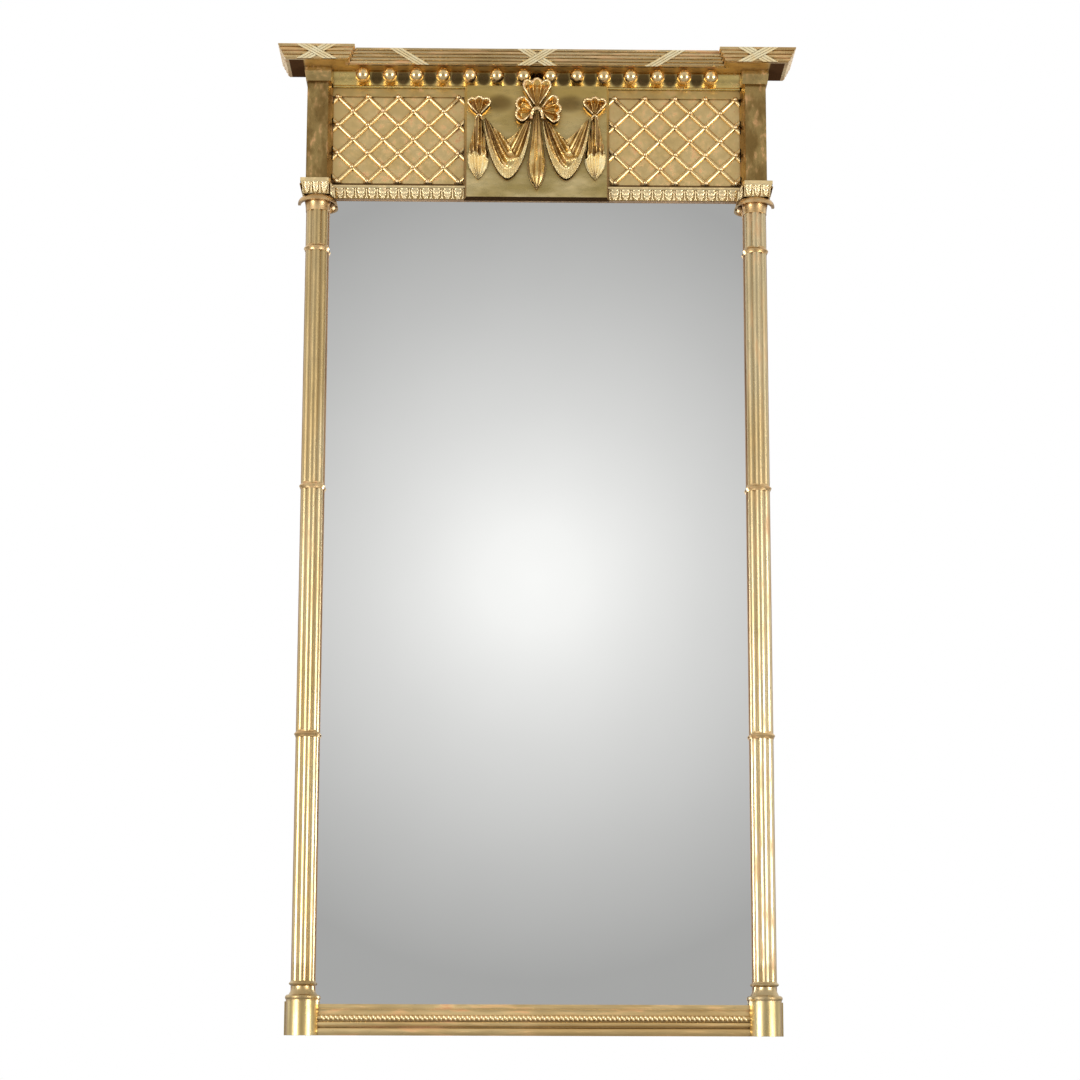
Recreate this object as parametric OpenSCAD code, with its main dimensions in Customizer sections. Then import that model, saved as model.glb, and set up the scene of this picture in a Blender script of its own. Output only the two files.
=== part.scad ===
// Gilt pier mirror: cluster columns, trellis frieze, draped tablet and a cornice hung with balls.
// Frame: +X to the right, -Y into the room, +Z up. The wall is the plane y = 0, the underside is z = 0.
// A depth in these notes is a distance in front of the wall.

/* [Overall] */
// Height from the underside to the top of the cornice
overall_h = 1600; // [1400:5:1900]
// Clear width between the two stiles, where the glass shows
sight_w = 684; // [600:2:800]

/* [Carcass] */
// Width of each stile
stile_w = 38; // [36:1:44]
// Depth of the stiles and the bottom rail
carcass_d = 20; // [19:0.5:26]
// Thickness of the lip that the glass bears on
lip_t = 6; // [4:0.5:7]
// Height of the bottom rail
rail_h = 48; // [40:1:60]
// Thickness of the wide rail behind the frieze
frieze_rail_t = 10; // [9.5:0.5:12]
// Length of the tenons on the bottom rail
tenon_l = 26; // [15:1:30]
// Thickness of those tenons
tenon_t = 8; // [5:0.5:10]
// Length of the tongues on the ends of the frieze rail
tongue_l = 10; // [6:1:16]
// Thickness of those tongues
tongue_t = 5; // [3:0.5:6]
// Air left round tenons and tongues
joint_fit = 0.2; // [0.05:0.05:0.4]

/* [Glass and back] */
// Thickness of the silvered plate
plate_t = 4; // [3:0.5:5]
// Width of plate hidden behind the lip
plate_lap = 7; // [5:0.5:8]
// Air between the plate and the sides of its rebate
plate_gap = 1; // [0.5:0.25:2]
// Thickness of the backboards
board_t = 8; // [6:0.5:9]
// How far the backboards reach past the sight edge
board_lap = 16; // [14:0.5:18]
// Air between one backboard and the next
board_gap = 0.8; // [0.4:0.1:2]
// Diameter of the backboard nails
nail_d = 2; // [1.5:0.1:2.5]
// Length of the backboard nails under their heads
nail_l = 15; // [12:0.5:16]
// Nails along each edge of a backboard
nails_per_edge = 3; // [2:1:5]

/* [Columns] */
// Distance from the carcass face out to the column's axis
column_proud = 5; // [4:0.5:8]
// Number of round shafts bundled in a column
lobe_n = 6; // [6:2:8]
// Radius of each shaft in the bundle
lobe_r = 8.7; // [7.5:0.1:9]
// Radius of the circle through the shafts' centres
bundle_r = 10.1; // [9:0.1:10.4]
// Radius of the rings that bind the bundle, at their sharp edge
ring_r = 21.2; // [20.5:0.1:24]
// Height of each ring
ring_h = 11; // [7:0.5:14]
// Height of the lowest ring's edge above the underside
ring_low_z = 470; // [420:5:520]
// Height of the middle ring's edge
ring_mid_z = 872; // [820:5:920]
// Height of the top ring's edge, below the top of the glass
ring_top_drop = 88; // [60:2:140]

/* [Column base] */
// Height of the plinth blocks
plinth_h = 52; // [42:1:60]
// Radius of the plinth's rounded front
plinth_r = 25.6; // [24:0.2:30]
// How far the plinth's backing passes the stile on the outer side
plinth_cheek = 8.8; // [4:0.2:14]
// Radius of the round band that stands on the plinth
torus_r = 27.2; // [25:0.2:30]
// Height of that band
torus_h = 10.5; // [8:0.5:14]
// Height of the turned neck between the band and the shafts
neck_h = 19.5; // [16:0.5:30]
// Radius of the neck under its ring, where it is narrowest
neck_r = 17.5; // [15:0.5:19]
// Radius of the ring between the neck and the shafts
neck_ring_r = 21.8; // [20.5:0.1:24]
// Height of that ring
neck_ring_h = 6.5; // [5:0.5:8]

/* [Capital] */
// Radius of the drooping collar
collar_r = 32.5; // [29:0.5:36]
// Height of the collar
collar_h = 12; // [8:0.5:14]
// Height of the bell between the shafts' heads and the collar
bell_h = 13; // [8:0.5:20]
// Width of the lip round the collar's hollow underside
lip_w = 4; // [3:0.5:6]
// How far the bell's foot passes the shafts
bell_over = 0.4; // [0.2:0.1:1.2]
// How far the leaf-carved block passes the stile on the outer side
capital_over = 7.4; // [4:0.2:12]
// Depth of the leaf-carved block
capital_d = 52; // [47:0.5:60]
// How far its carved sides slope in towards the collar
capital_taper = 5; // [2:0.5:8]
// Height of the plain fillet on its top
capital_fillet_h = 6; // [3:0.5:6.5]

/* [Frieze] */
// Height of the trellis panels
trellis_h = 150; // [120:1:180]
// Height of the leaf moulding under the trellis
leaf_h = 20; // [17:0.5:24]
// Depth of the leaf moulding at its top
leaf_d = 32; // [27:0.5:40]
// Height of the sunk fillet between the leaf moulding and the trellis
sunk_h = 6.6; // [4:0.2:10]
// Thickness of the trellis grounds
ground_t = 2; // [1.5:0.1:4]
// Height of the plain fillet over the trellis
fillet_h = 14.4; // [10:0.2:20]
// Thickness of that fillet
fillet_t = 5; // [3:0.5:8]
// Width of a trellis diamond
diamond_w = 50.2; // [40:0.2:60]
// Height of a trellis diamond
diamond_h = 48.8; // [40:0.2:60]
// Height of the lowest row of crossings over the foot of the trellis
first_row = 3; // [0:0.2:12]
// Width of the trellis bars
bar_w = 7.4; // [5:0.2:9]
// Thickness of the trellis bars
bar_t = 4.2; // [3:0.1:6]
// Radius of the beads on the crossings
bead_r = 4; // [2.5:0.1:5]
// Depth of the plain pilasters
pilaster_d = 45; // [38:0.5:47]
// Width of a pilaster's front
pilaster_w = 34.5; // [30:0.5:38]
// How far the inner sides of pilasters and blocks splay out behind their front
splay = 8; // [4:0.5:12]
// Depth of the impost blocks over the pilasters
impost_d = 54; // [48:0.5:60]
// How far the impost blocks pass the pilasters on each side
impost_over = 4.5; // [2:0.5:8]
// Height of the impost blocks
impost_h = 22; // [16:0.5:26]
// How far their sides and front draw in towards the pilaster
impost_taper = 2.5; // [1:0.5:4]

/* [Tablet] */
// Width of the tablet
tablet_w = 231.4; // [210:0.5:260]
// Depth of the tablet's face
tablet_d = 42; // [36:0.5:48]
// How far the tablet's sides splay out behind its face
tablet_splay = 5; // [2:0.5:8]
// How far the tablet hangs below the leaf moulding
tablet_drop = 1.5; // [0:0.5:4]

/* [Cornice] */
// Height of the cornice mouldings
cornice_h = 22; // [18:0.5:28]
// Width of each projecting end of the cornice
end_w = 128; // [110:1:150]
// How far the cornice passes the stiles on the outer side
cornice_over = 46.8; // [36:0.5:60]
// Depth of the cornice ends at their top edge
end_d = 98; // [90:1:120]
// Depth of the centre of the cornice at its top edge
centre_d = 81; // [76:1:88]
// How far the centre moulding slopes out from its bottom to its top edge
centre_run = 19; // [14:0.5:22]
// How far the end mouldings slope out
end_run = 12; // [8:0.5:16]
// Thickness of moulding in front of the core at its bottom edge
moulding_t = 6; // [5:0.5:8]
// Reeds across the centre moulding
centre_reeds = 5; // [3:1:7]
// Reeds across the end mouldings
end_reeds = 4; // [3:1:6]
// Height of the hollow moulding behind the balls
cove_h = 28; // [24:0.5:34]
// Depth of that moulding at the soffit
cove_top_d = 35; // [31:0.5:36]
// Depth at the foot of its hollow
cove_foot_d = 27; // [25:0.5:29]
// Height of the square edge below the hollow
cove_fillet_h = 4.5; // [3:0.5:6]
// Number of balls under the cornice
ball_n = 14; // [8:1:16]
// Diameter of the balls
ball_d = 25; // [20:0.5:27]
// Distance between neighbouring balls
ball_pitch = 44.4; // [36:0.2:46]
// Depth of the balls' centres
ball_depth = 48; // [47.5:0.5:49.5]
// Diameter of the pegs that hold the balls
peg_d = 4; // [3:0.5:6]
// Length of those pegs in the cornice
peg_l = 12; // [8:0.5:16]
// Air round each peg
peg_fit = 0.1; // [0.05:0.05:0.3]

/* [Ribbon ties] */
// Width of one strand of ribbon
strand_w = 2.9; // [1.6:0.1:4]
// Thickness of the ribbon
strand_t = 1.8; // [0.8:0.1:2.4]
// Strands side by side in a ribbon
strand_n = 3; // [2:1:4]
// Length of moulding that a crossed tie covers
tie_w = 58; // [40:1:80]
// Distance from the middle to each single tie
single_tie_x = 211; // [120:1:250]

/* [Bottom moulding] */
// Depth of the bottom moulding at its foot bead
foot_d = 33; // [29:0.5:38]
// Height of the foot bead
foot_bead_h = 13; // [8:0.5:15]
// Height of the wave between the foot bead and the rope
wave_h = 10.4; // [8:0.2:12]
// Diameter of the rope strip
rope_d = 7.4; // [5:0.2:8]
// Height of the square edge beside the glass
edge_h = 5.6; // [3:0.2:8]

/* [Drapery] */
// Height of the ties that the swags hang from, below the hollow moulding
tie_drop = 61; // [58:1:70]
// Greatest relief of the drapery
swag_relief = 20; // [12:0.5:26]
// Thickness of the drapery at its edges
hem_t = 5; // [3:0.5:8]
// Half the width of a swag
swag_half_w = 38.5; // [32:0.5:39]
// Height of a swag from its ties to its lowest point
swag_h = 99; // [80:1:103]
// Depth of the notch between a swag's arms
swag_notch = 36; // [15:1:45]
// Folds down a swag
swag_folds = 3; // [2:0.5:5]
// Share of a swag's depth that its fringe takes
fringe_share = 0.17; // [0.1:0.01:0.25]
// Height of the hanging tail at the middle of the tablet
centre_drop_h = 128; // [100:1:132]
// Half the width of that tail where it is fullest
centre_drop_half_w = 15.8; // [10:0.2:16.6]
// Height of the tails at the sides, below their ties
side_drop_h = 106; // [80:1:110]
// Half the width of the side tails
side_drop_half_w = 17.5; // [12:0.5:18]
// Height of the pleated fans over the side tails
fan_h = 37; // [28:1:42]
// Half the width of those fans
fan_half_w = 19.5; // [14:0.5:20]
// Height of the bow's knot over the swags' ties
knot_up = 18; // [15:0.5:22]
// Reach of the bow's upright loop
bow_h = 50; // [36:1:52]
// Reach of the bow's side loops
bow_side = 38; // [28:1:42]
// Radius of the knot
knot_r = 7.5; // [5:0.5:8]
// Reach of the two legs under the knot
leg_l = 17; // [12:0.5:17]

/* [Hangers] */
// Distance from the stiles' inner edges to the middle of each hanger
hanger_in = 112; // [60:2:200]
// Height of the hanging rings' hinge below the top of the cornice
hanger_drop = 130; // [80:5:160]
// Width of a hanger plate
hanger_w = 24; // [18:1:28]
// Height of a hanger plate below its knuckle
hanger_h = 24; // [20:1:27]
// Thickness of a hanger plate
hanger_t = 1.6; // [1:0.1:2.2]
// Outer radius of the knuckle
knuckle_r = 3.4; // [3:0.1:4]
// Radius of the ring's wire
wire_r = 2; // [1.5:0.1:2.2]
// Running clearance between the wire and the knuckle
wire_fit = 0.06; // [0.03:0.01:0.1]
// Clear width inside a ring
hang_w = 34; // [32:1:44]
// Distance from the hinge to the far side of a ring
hang_h = 42; // [40:1:50]
// Diameter of the hanger screws
screw_d = 3.2; // [2.5:0.1:3.5]
// Length of the hanger screws in the rail
screw_l = 8; // [5:0.5:9]
// Diameter of the screw heads
screw_head_d = 6.4; // [5:0.2:7]

/* [Hidden] */
$fn = 48;
eps = 0.01;
far = 3000;

// heights of the stacked stages, from the top down
soffit_z = overall_h - cornice_h;
cove_z = soffit_z - cove_h;
trellis_top = cove_z - fillet_h;
trellis_z = trellis_top - trellis_h;
sight_top = trellis_z - sunk_h - leaf_h;
capital_top = sight_top + leaf_h + capital_fillet_h;
impost_neck = 3;
impost_z = soffit_z - impost_h - impost_neck;

// places across the width, measured on the right-hand side
sight_x = sight_w / 2;
stile_x = sight_x + stile_w;
column_x = sight_x + stile_w / 2;
pilaster_x = stile_x - pilaster_w;
pilaster_foot_x = pilaster_x - splay;
tablet_x = tablet_w / 2;
tablet_foot_x = tablet_x + tablet_splay;
ground_d = carcass_d + ground_t;
panel_mid_x = (tablet_x + pilaster_x) / 2;
panel_mid_z = trellis_z + first_row + 1.5 * diamond_h;
cornice_x = stile_x + cornice_over;
end_inner_x = cornice_x - end_w;

// the glass and its rebates
axis_d = carcass_d + column_proud;
plate_face_d = carcass_d - lip_t;
plate_back_d = plate_face_d - plate_t;
board_back_d = plate_back_d - board_t;
board_x = sight_x + board_lap;
board_z = rail_h - board_lap;
board_top = sight_top + board_lap;
board_n = 3;
board_h = (board_top - board_z - (board_n - 1) * board_gap) / board_n;
nail_hole_d = nail_d + 0.2;
nail_head_d = 2.5 * nail_d;
nail_head_t = 1;
nail_x = board_x - nail_head_d / 2 - 1;
nail_edge = 50;

// the column
shaft_seat = 1.5;
shaft_z = plinth_h + torus_h + neck_h + shaft_seat;
arc_n = 6;
collar_z = sight_top - collar_h;
shaft_top = collar_z - bell_h;
bell_r = bundle_r + lobe_r + bell_over;
ring_zs = [ring_low_z, ring_mid_z, sight_top - ring_top_drop];
ring_fit = 0.05;

// the cornice
end_bottom_d = end_d - end_run;
centre_bottom_d = centre_d - centre_run;
reed_overlap = 1.12;
blank_over = 20;
core_centre_d = centre_bottom_d - moulding_t;
core_end_d = end_bottom_d - moulding_t;
core_x = cornice_x - end_run - moulding_t;
core_inner_x = end_inner_x + end_run + moulding_t;
centre_slope = norm([centre_run, cornice_h]);
end_slope = norm([end_run, cornice_h]);
end_mid_x = (cornice_x + end_inner_x) / 2;
ribbon_w = strand_n * strand_w * 1.35;
tie_inset = 0.8;
ribbon_gap = 0.3;

// the hanging rings
rail_back_d = carcass_d - frieze_rail_t;
hinge_d = rail_back_d - knuckle_r;
hanger_x = sight_x - hanger_in;
hinge_z = overall_h - hanger_drop;
screw_fit = 0.1;

// the drapery
tie_z = cove_z - tie_drop;
knot_z = tie_z + knot_up;
drop_x = tablet_x - fan_half_w - 0.7;
swag_x = drop_x / 2 + 0.7;
drop_tie_z = tie_z + 6;
edge_t = 3;
arm_h = 6;

gold = "#b59b5c";
deep_gold = "#8a7448";
rubbed_gold = "#b9855c";
pine = "#c8a673";

// ---------- placing helpers ----------

// mirrors a right-hand piece to the left for side = -1
module on_side(side) {
    mirror([side < 0 ? 1 : 0, 0, 0]) children();
}

// runs a section drawn as (depth, height) across the width
module run_x(x0, x1) {
    translate([x1, 0, 0]) rotate([90, 0, -90]) linear_extrude(x1 - x0) children();
}

// runs a section drawn as (x, height) forward from one depth to another
module run_d(d0, d1) {
    translate([0, -d0, 0]) rotate([90, 0, 0]) linear_extrude(d1 - d0) children();
}

// raises a plan drawn as (x, depth)
module rise(z0, z1) {
    translate([0, 0, z0]) linear_extrude(z1 - z0) mirror([0, 1]) children();
}

// keeps what stands in front of the carcass face
module proud() {
    intersection() {
        children();
        translate([-far, -far - carcass_d, -far]) cube([2 * far, far, 2 * far]);
    }
}

module box(x0, x1, d0, d1, z0, z1) {
    translate([x0, -d1, z0]) cube([x1 - x0, d1 - d0, z1 - z0]);
}

// ---------- carcass ----------

module stile(side) {
    color(pine) on_side(side) difference() {
        box(sight_x, stile_x, 0, carcass_d, 0, soffit_z);
        box(sight_x - 1, sight_x + plate_lap + plate_gap, -1, plate_face_d,
            board_z, board_top);
        box(sight_x - 1, board_x, -1, plate_back_d, board_z, board_top);
        tenon(joint_fit);
        tongue(joint_fit);
        nail_shafts(nail_hole_d);
    }
}

// the bottom rail's tenon in the right-hand stile
module tenon(air) {
    mid_d = carcass_d / 2;
    box(sight_x - eps, sight_x + tenon_l + air, mid_d - tenon_t / 2 - air,
        mid_d + tenon_t / 2 + air, board_z * 0.2 - air, board_z * 0.85 + air);
}

// the frieze rail's tongue in the right-hand stile
module tongue(air) {
    mid_d = carcass_d - frieze_rail_t / 2;
    box(sight_x - eps, sight_x + tongue_l + air, mid_d - tongue_t / 2 - air,
        mid_d + tongue_t / 2 + air, board_top + 6 - air, soffit_z - 6 + air);
}

module bottom_rail() {
    color(pine) {
        difference() {
            box(-sight_x, sight_x, 0, carcass_d, 0, rail_h);
            box(-sight_x - 1, sight_x + 1, -1, plate_face_d, rail_h - plate_lap, rail_h + 1);
            box(-sight_x - 1, sight_x + 1, -1, plate_back_d, board_z, rail_h + 1);
        }
        for (side = [-1, 1]) on_side(side) tenon(0);
    }
}

module frieze_rail() {
    color(pine) difference() {
        union() {
            box(-sight_x, sight_x, rail_back_d, carcass_d, sight_top, soffit_z);
            for (side = [-1, 1]) on_side(side) tongue(0);
        }
        box(-sight_x - 1, sight_x + 1, rail_back_d - 1, plate_face_d,
            sight_top - 1, sight_top + plate_lap + plate_gap);
        if (plate_back_d > rail_back_d)
            box(-sight_x - 1, sight_x + 1, rail_back_d - 1, plate_back_d,
                sight_top - 1, board_top);
        for (side = [-1, 1]) on_side(side) screws(screw_d + 2 * screw_fit, screw_l + 0.5, 0);
    }
}

// ---------- glass and back ----------

module mirror_plate() {
    color("#d8dcdc") box(-sight_x - plate_lap, sight_x + plate_lap, plate_back_d, plate_face_d,
        rail_h - plate_lap, sight_top + plate_lap);
}

module backboard(i) {
    z0 = board_z + i * (board_h + board_gap);
    color("#a88658") difference() {
        box(-board_x + board_gap, board_x - board_gap, board_back_d, plate_back_d,
            z0, z0 + board_h);
        for (side = [-1, 1]) on_side(side) nail_shafts(nail_hole_d);
    }
}

// calls its children at each nail of the right-hand edge, pointing into the stile
module each_nail() {
    for (i = [0 : board_n - 1], k = [0 : nails_per_edge - 1]) {
        z0 = board_z + i * (board_h + board_gap) + nail_edge;
        step = (board_h - 2 * nail_edge) / (nails_per_edge - 1);
        translate([nail_x, -board_back_d, z0 + k * step]) rotate([90, 0, 0]) children();
    }
}

module nail_shafts(d) {
    each_nail() translate([0, 0, -1]) cylinder(d = d, h = nail_l + 1.5);
}

module backboard_nails() {
    color("#4a4440") for (side = [-1, 1]) on_side(side) each_nail() {
        cylinder(d = nail_d, h = nail_l);
        translate([0, 0, -nail_head_t]) cylinder(d = nail_head_d, h = nail_head_t);
    }
}

// ---------- columns ----------

module at_column() {
    translate([column_x, -axis_d, 0]) children();
}

// section through the bundle of shafts, one of them facing the room
module bundle(grow = 0) {
    circle(r = bundle_r + grow);
    for (i = [0 : lobe_n - 1]) rotate(i * 360 / lobe_n - 90)
        translate([bundle_r, 0]) circle(r = lobe_r + grow);
}

module bundle_front(grow = 0) {
    intersection() {
        bundle(grow);
        translate([-far, -far]) square([2 * far, far + column_proud]);
    }
}

module column(side) {
    color(gold) on_side(side) at_column() translate([0, 0, shaft_z])
        linear_extrude(shaft_top - shaft_z) bundle_front();
}

module column_rings() {
    half = ring_h / 2;
    color(rubbed_gold) for (side = [-1, 1], z = ring_zs)
        on_side(side) proud() at_column() translate([0, 0, z]) difference() {
            rotate_extrude() polygon([[10, -half], [ring_r - 2.4, -half], [ring_r - 1.5, -half * 0.6],
                [ring_r, -half * 0.1], [ring_r - 0.5, half * 0.15], [ring_r - 2.6, half * 0.6],
                [ring_r - 2.9, half], [10, half]]);
            translate([0, 0, -half - 1]) linear_extrude(ring_h + 2) bundle(ring_fit);
        }
}

// points along an arc from one angle to another, in arc_n steps
function arc(centre, r, from, to) =
    [for (i = [0 : arc_n]) let (a = mix(from, to, i / arc_n)) centre + r * [cos(a), sin(a)]];

// (radius, height) over the plinth: round band, flaring neck, ring and the shafts' seat
module base_section() {
    ring_z = torus_h + neck_h - neck_ring_h;
    shaft_r = bundle_r + lobe_r;
    band_r = torus_h * 0.44;
    foot_r = torus_r - band_r - 0.8;
    flare = [for (i = [0 : arc_n]) let (t = i / arc_n)
        [mix(foot_r, neck_r, 1 - pow(1 - t, 2.2)), mix(torus_h, ring_z, t)]];
    polygon(concat([[0, 0], [torus_r - band_r * 0.34, 0]],
        arc([torus_r - band_r, torus_h - band_r], band_r, -48, 90), flare,
        [[neck_ring_r - 1.2, ring_z + neck_ring_h * 0.3], [neck_ring_r, ring_z + neck_ring_h * 0.55],
            [neck_ring_r - 0.8, ring_z + neck_ring_h * 0.8], [shaft_r + 0.6, ring_z + neck_ring_h],
            [shaft_r, ring_z + neck_ring_h + shaft_seat], [0, ring_z + neck_ring_h + shaft_seat]]));
}

module column_base(side) {
    color(gold) on_side(side) proud() at_column() translate([0, 0, plinth_h]) rotate_extrude()
        base_section();
}

module plinth(side) {
    color(gold) on_side(side) {
        proud() at_column() cylinder(r = plinth_r, h = plinth_h);
        box(column_x - plinth_r, stile_x + plinth_cheek, carcass_d, axis_d, 0, plinth_h);
        box(stile_x, stile_x + plinth_cheek, 0, carcass_d + eps, 0, plinth_h);
    }
}

// a bell that spreads from the shafts' heads into a drooping collar
module collar(side) {
    color(rubbed_gold) on_side(side) proud() at_column() translate([0, 0, collar_z])
        rotate_extrude() collar_section();
}

// (radius, height) of the collar: a dome drooping to a lip round a hollow underside, and below it
// the bell, whose side swings out from the shafts' heads to the hollow
module collar_section() {
    hollow_r = min(collar_h * 0.55, (collar_r - lip_w - bell_r) * 0.8);
    throat_r = collar_r - lip_w - hollow_r;
    spread = throat_r - bell_r;
    rise = bell_h + hollow_r;
    swing = (spread * spread + rise * rise) / (2 * spread);
    polygon(concat([[0, collar_h]], arc([collar_r - collar_h, 0], collar_h, 90, 0),
        arc([throat_r, 0], hollow_r, 0, 80),
        arc([bell_r + swing, -bell_h], swing, 180 - asin(rise / swing), 180), [[0, -bell_h]]));
}

module capital_block(side) {
    inner = column_x - stile_w / 2;
    outer = stile_x + capital_over;
    color(gold) on_side(side) {
        intersection() {
            rise(sight_top, sight_top + leaf_h) polygon([[inner - splay, carcass_d],
                [inner - splay, ground_d], [inner, capital_d], [outer, capital_d], [outer, carcass_d]]);
            run_x(0, far) polygon([[carcass_d - 1, sight_top - 1], [capital_d - capital_taper, sight_top - 1],
                [capital_d - capital_taper, sight_top], [capital_d, sight_top + leaf_h],
                [capital_d, far], [carcass_d - 1, far]]);
            run_d(0, far) polygon([[0, 0], [outer - capital_taper, 0], [outer - capital_taper, sight_top],
                [outer, sight_top + leaf_h], [outer, far], [0, far]]);
        }
        rise(sight_top + leaf_h, capital_top) polygon([[inner - splay, carcass_d],
            [inner - splay, ground_d], [inner, capital_d + 1], [outer + 1, capital_d + 1],
            [outer + 1, carcass_d]]);
    }
}

module pilaster_plan() {
    polygon([[pilaster_foot_x, carcass_d], [pilaster_foot_x, ground_d], [pilaster_x, pilaster_d],
        [stile_x, pilaster_d], [stile_x, carcass_d]]);
}

module pilaster(side) {
    color(deep_gold) on_side(side) rise(capital_top, impost_z) pilaster_plan();
}

module impost_plan(over) {
    polygon([[pilaster_foot_x, carcass_d], [pilaster_foot_x, ground_d],
        [pilaster_x - over, impost_d - impost_over + over], [stile_x + over, impost_d - impost_over + over],
        [stile_x + over, 0], [stile_x, 0], [stile_x, carcass_d]]);
}

// impost block, its front and sides drawn in downwards, with a narrower neck under the soffit
module impost_block(side) {
    front = impost_d;
    outer = stile_x + impost_over;
    top = impost_z + impost_h;
    flat_h = impost_h * 0.25;
    color(deep_gold) on_side(side) {
        intersection() {
            rise(impost_z, top) impost_plan(impost_over);
            run_x(0, far) polygon([[-1, impost_z - 1], [front - impost_taper, impost_z - 1],
                [front - impost_taper, impost_z], [front, top - flat_h], [front, far], [-1, far]]);
            run_d(-1, far) polygon([[0, 0], [outer - impost_taper, 0], [outer - impost_taper, impost_z],
                [outer, top - flat_h], [outer, far], [0, far]]);
        }
        rise(top - eps, soffit_z) impost_plan(impost_over - impost_neck / 2);
    }
}

// ---------- frieze ----------

module tablet_plan() {
    polygon([[-tablet_foot_x, carcass_d], [-tablet_foot_x, ground_d], [-tablet_x, tablet_d],
        [tablet_x, tablet_d], [tablet_foot_x, ground_d], [tablet_foot_x, carcass_d]]);
}

module tablet() {
    color(deep_gold) rise(sight_top - tablet_drop, cove_z) tablet_plan();
}

module trellis_ground(side) {
    color(gold) on_side(side) box(tablet_foot_x, pilaster_foot_x, carcass_d, ground_d,
        trellis_z, trellis_top);
}

// strips of one width along both diagonals of the trellis, drawn as (x, height)
module diagonals(w) {
    reach = pilaster_foot_x - tablet_foot_x + trellis_h;
    angle = atan2(diamond_h, diamond_w);
    n = ceil(reach / diamond_w);
    intersection() {
        translate([tablet_foot_x, trellis_z]) square([pilaster_foot_x - tablet_foot_x, trellis_h]);
        translate([panel_mid_x, panel_mid_z]) for (way = [-1, 1], i = [-n : n])
            translate([(i + 0.5) * diamond_w, 0]) rotate(way * angle)
                translate([-reach, -w / 2]) square([2 * reach, w]);
    }
}

// the bars' rounded top as layers of [share of the width, share of the thickness]
bar_layers = [[1, 0.45], [0.76, 0.8], [0.42, 1]];

module trellis_lattice(side) {
    color(rubbed_gold) on_side(side) difference() {
        union() {
            for (layer = bar_layers) run_d(ground_d, ground_d + bar_t * layer[1]) diagonals(bar_w * layer[0]);
        }
        rise(trellis_z - 1, trellis_top + 1) tablet_plan();
        rise(trellis_z - 1, trellis_top + 1) pilaster_plan();
    }
}

// centres of the crossings, as (x, height); the rows at the edges keep their beads
function crossings() = [
    for (row = [-3 : 3], i = [-4 : 4])
        let (x = panel_mid_x + (i + (row % 2 == 0 ? 0.5 : 0)) * diamond_w,
             z = panel_mid_z + row * diamond_h / 2)
        if (x > tablet_foot_x + bead_r && x < pilaster_foot_x - bead_r && z > trellis_z && z < trellis_top)
        [x, z]];

module trellis_beads() {
    color(gold) for (side = [-1, 1]) on_side(side) for (c = crossings())
        translate([c[0], -ground_d - bar_t, c[1]]) rotate([90, 0, 0]) difference() {
            sphere(r = bead_r);
            translate([0, 0, -bead_r]) cube(2 * bead_r, center = true);
        }
}

module frieze_fillet(side) {
    color(gold) on_side(side) difference() {
        box(tablet_x, pilaster_x, carcass_d, carcass_d + fillet_t, trellis_top, cove_z);
        rise(trellis_top - 1, cove_z + 1) tablet_plan();
        rise(trellis_top - 1, cove_z + 1) pilaster_plan();
    }
}

// ogee drawn as (depth, height) with a sunk fillet above it
module leaf_section() {
    hollow = leaf_h * 0.55;
    translate([0, sight_top]) difference() {
        polygon([[carcass_d, 0], [carcass_d + 2, 0], [leaf_d - 2, leaf_h - 4], [leaf_d, leaf_h - 3],
            [leaf_d, leaf_h], [ground_d, leaf_h], [ground_d, leaf_h + sunk_h],
            [carcass_d, leaf_h + sunk_h]]);
        translate([leaf_d + hollow * 0.55, leaf_h * 0.3]) circle(r = hollow);
    }
}

module leaf_moulding(side) {
    inner = column_x - stile_w / 2;
    color(gold) on_side(side) difference() {
        run_x(tablet_x, inner) leaf_section();
        rise(sight_top - 1, trellis_z + 1) tablet_plan();
        rise(sight_top - 1, trellis_z + 1) polygon([[inner - splay, 0], [inner - splay, ground_d],
            [inner, capital_d], [inner + 10, capital_d], [inner + 10, 0]]);
        rise(capital_top, trellis_z + 1) pilaster_plan();
    }
}

// ---------- bottom moulding ----------

// (depth, height) of the bottom moulding, with the rope's seat cut in it
module bottom_section() {
    back = carcass_d;
    rope_z = foot_bead_h + wave_h + rope_d / 2;
    hollow_z = rope_z + rope_d / 2 + 1;
    hollow_h = rail_h - edge_h - 1.4 - hollow_z;
    difference() {
        union() {
            translate([back, 0]) square([foot_d - back - foot_bead_h / 2, foot_bead_h]);
            translate([foot_d - foot_bead_h / 2, foot_bead_h / 2]) circle(d = foot_bead_h);
            translate([back, 0]) square([foot_d - back - 4, rail_h - edge_h + eps]);
            translate([foot_d - 4, foot_bead_h + wave_h * 0.45]) circle(r = wave_h * 0.4);
            translate([back, rail_h - edge_h]) square([foot_d - back - 3, edge_h]);
        }
        translate([foot_d - 3.6, rope_z]) circle(d = rope_d);
        translate([foot_d - 4 + hollow_h * 0.62, hollow_z + hollow_h / 2]) circle(r = hollow_h * 0.8);
    }
}

module bottom_moulding() {
    reach = column_x;
    color(gold) difference() {
        run_x(-reach, reach) bottom_section();
        for (side = [-1, 1]) on_side(side) {
            at_column() translate([0, 0, -1]) cylinder(r = plinth_r, h = far);
            box(column_x - plinth_r, far, 0, axis_d, -1, far);
            box(column_x - plinth_r / 2, far, 0, far, -1, far);
        }
    }
}

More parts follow.
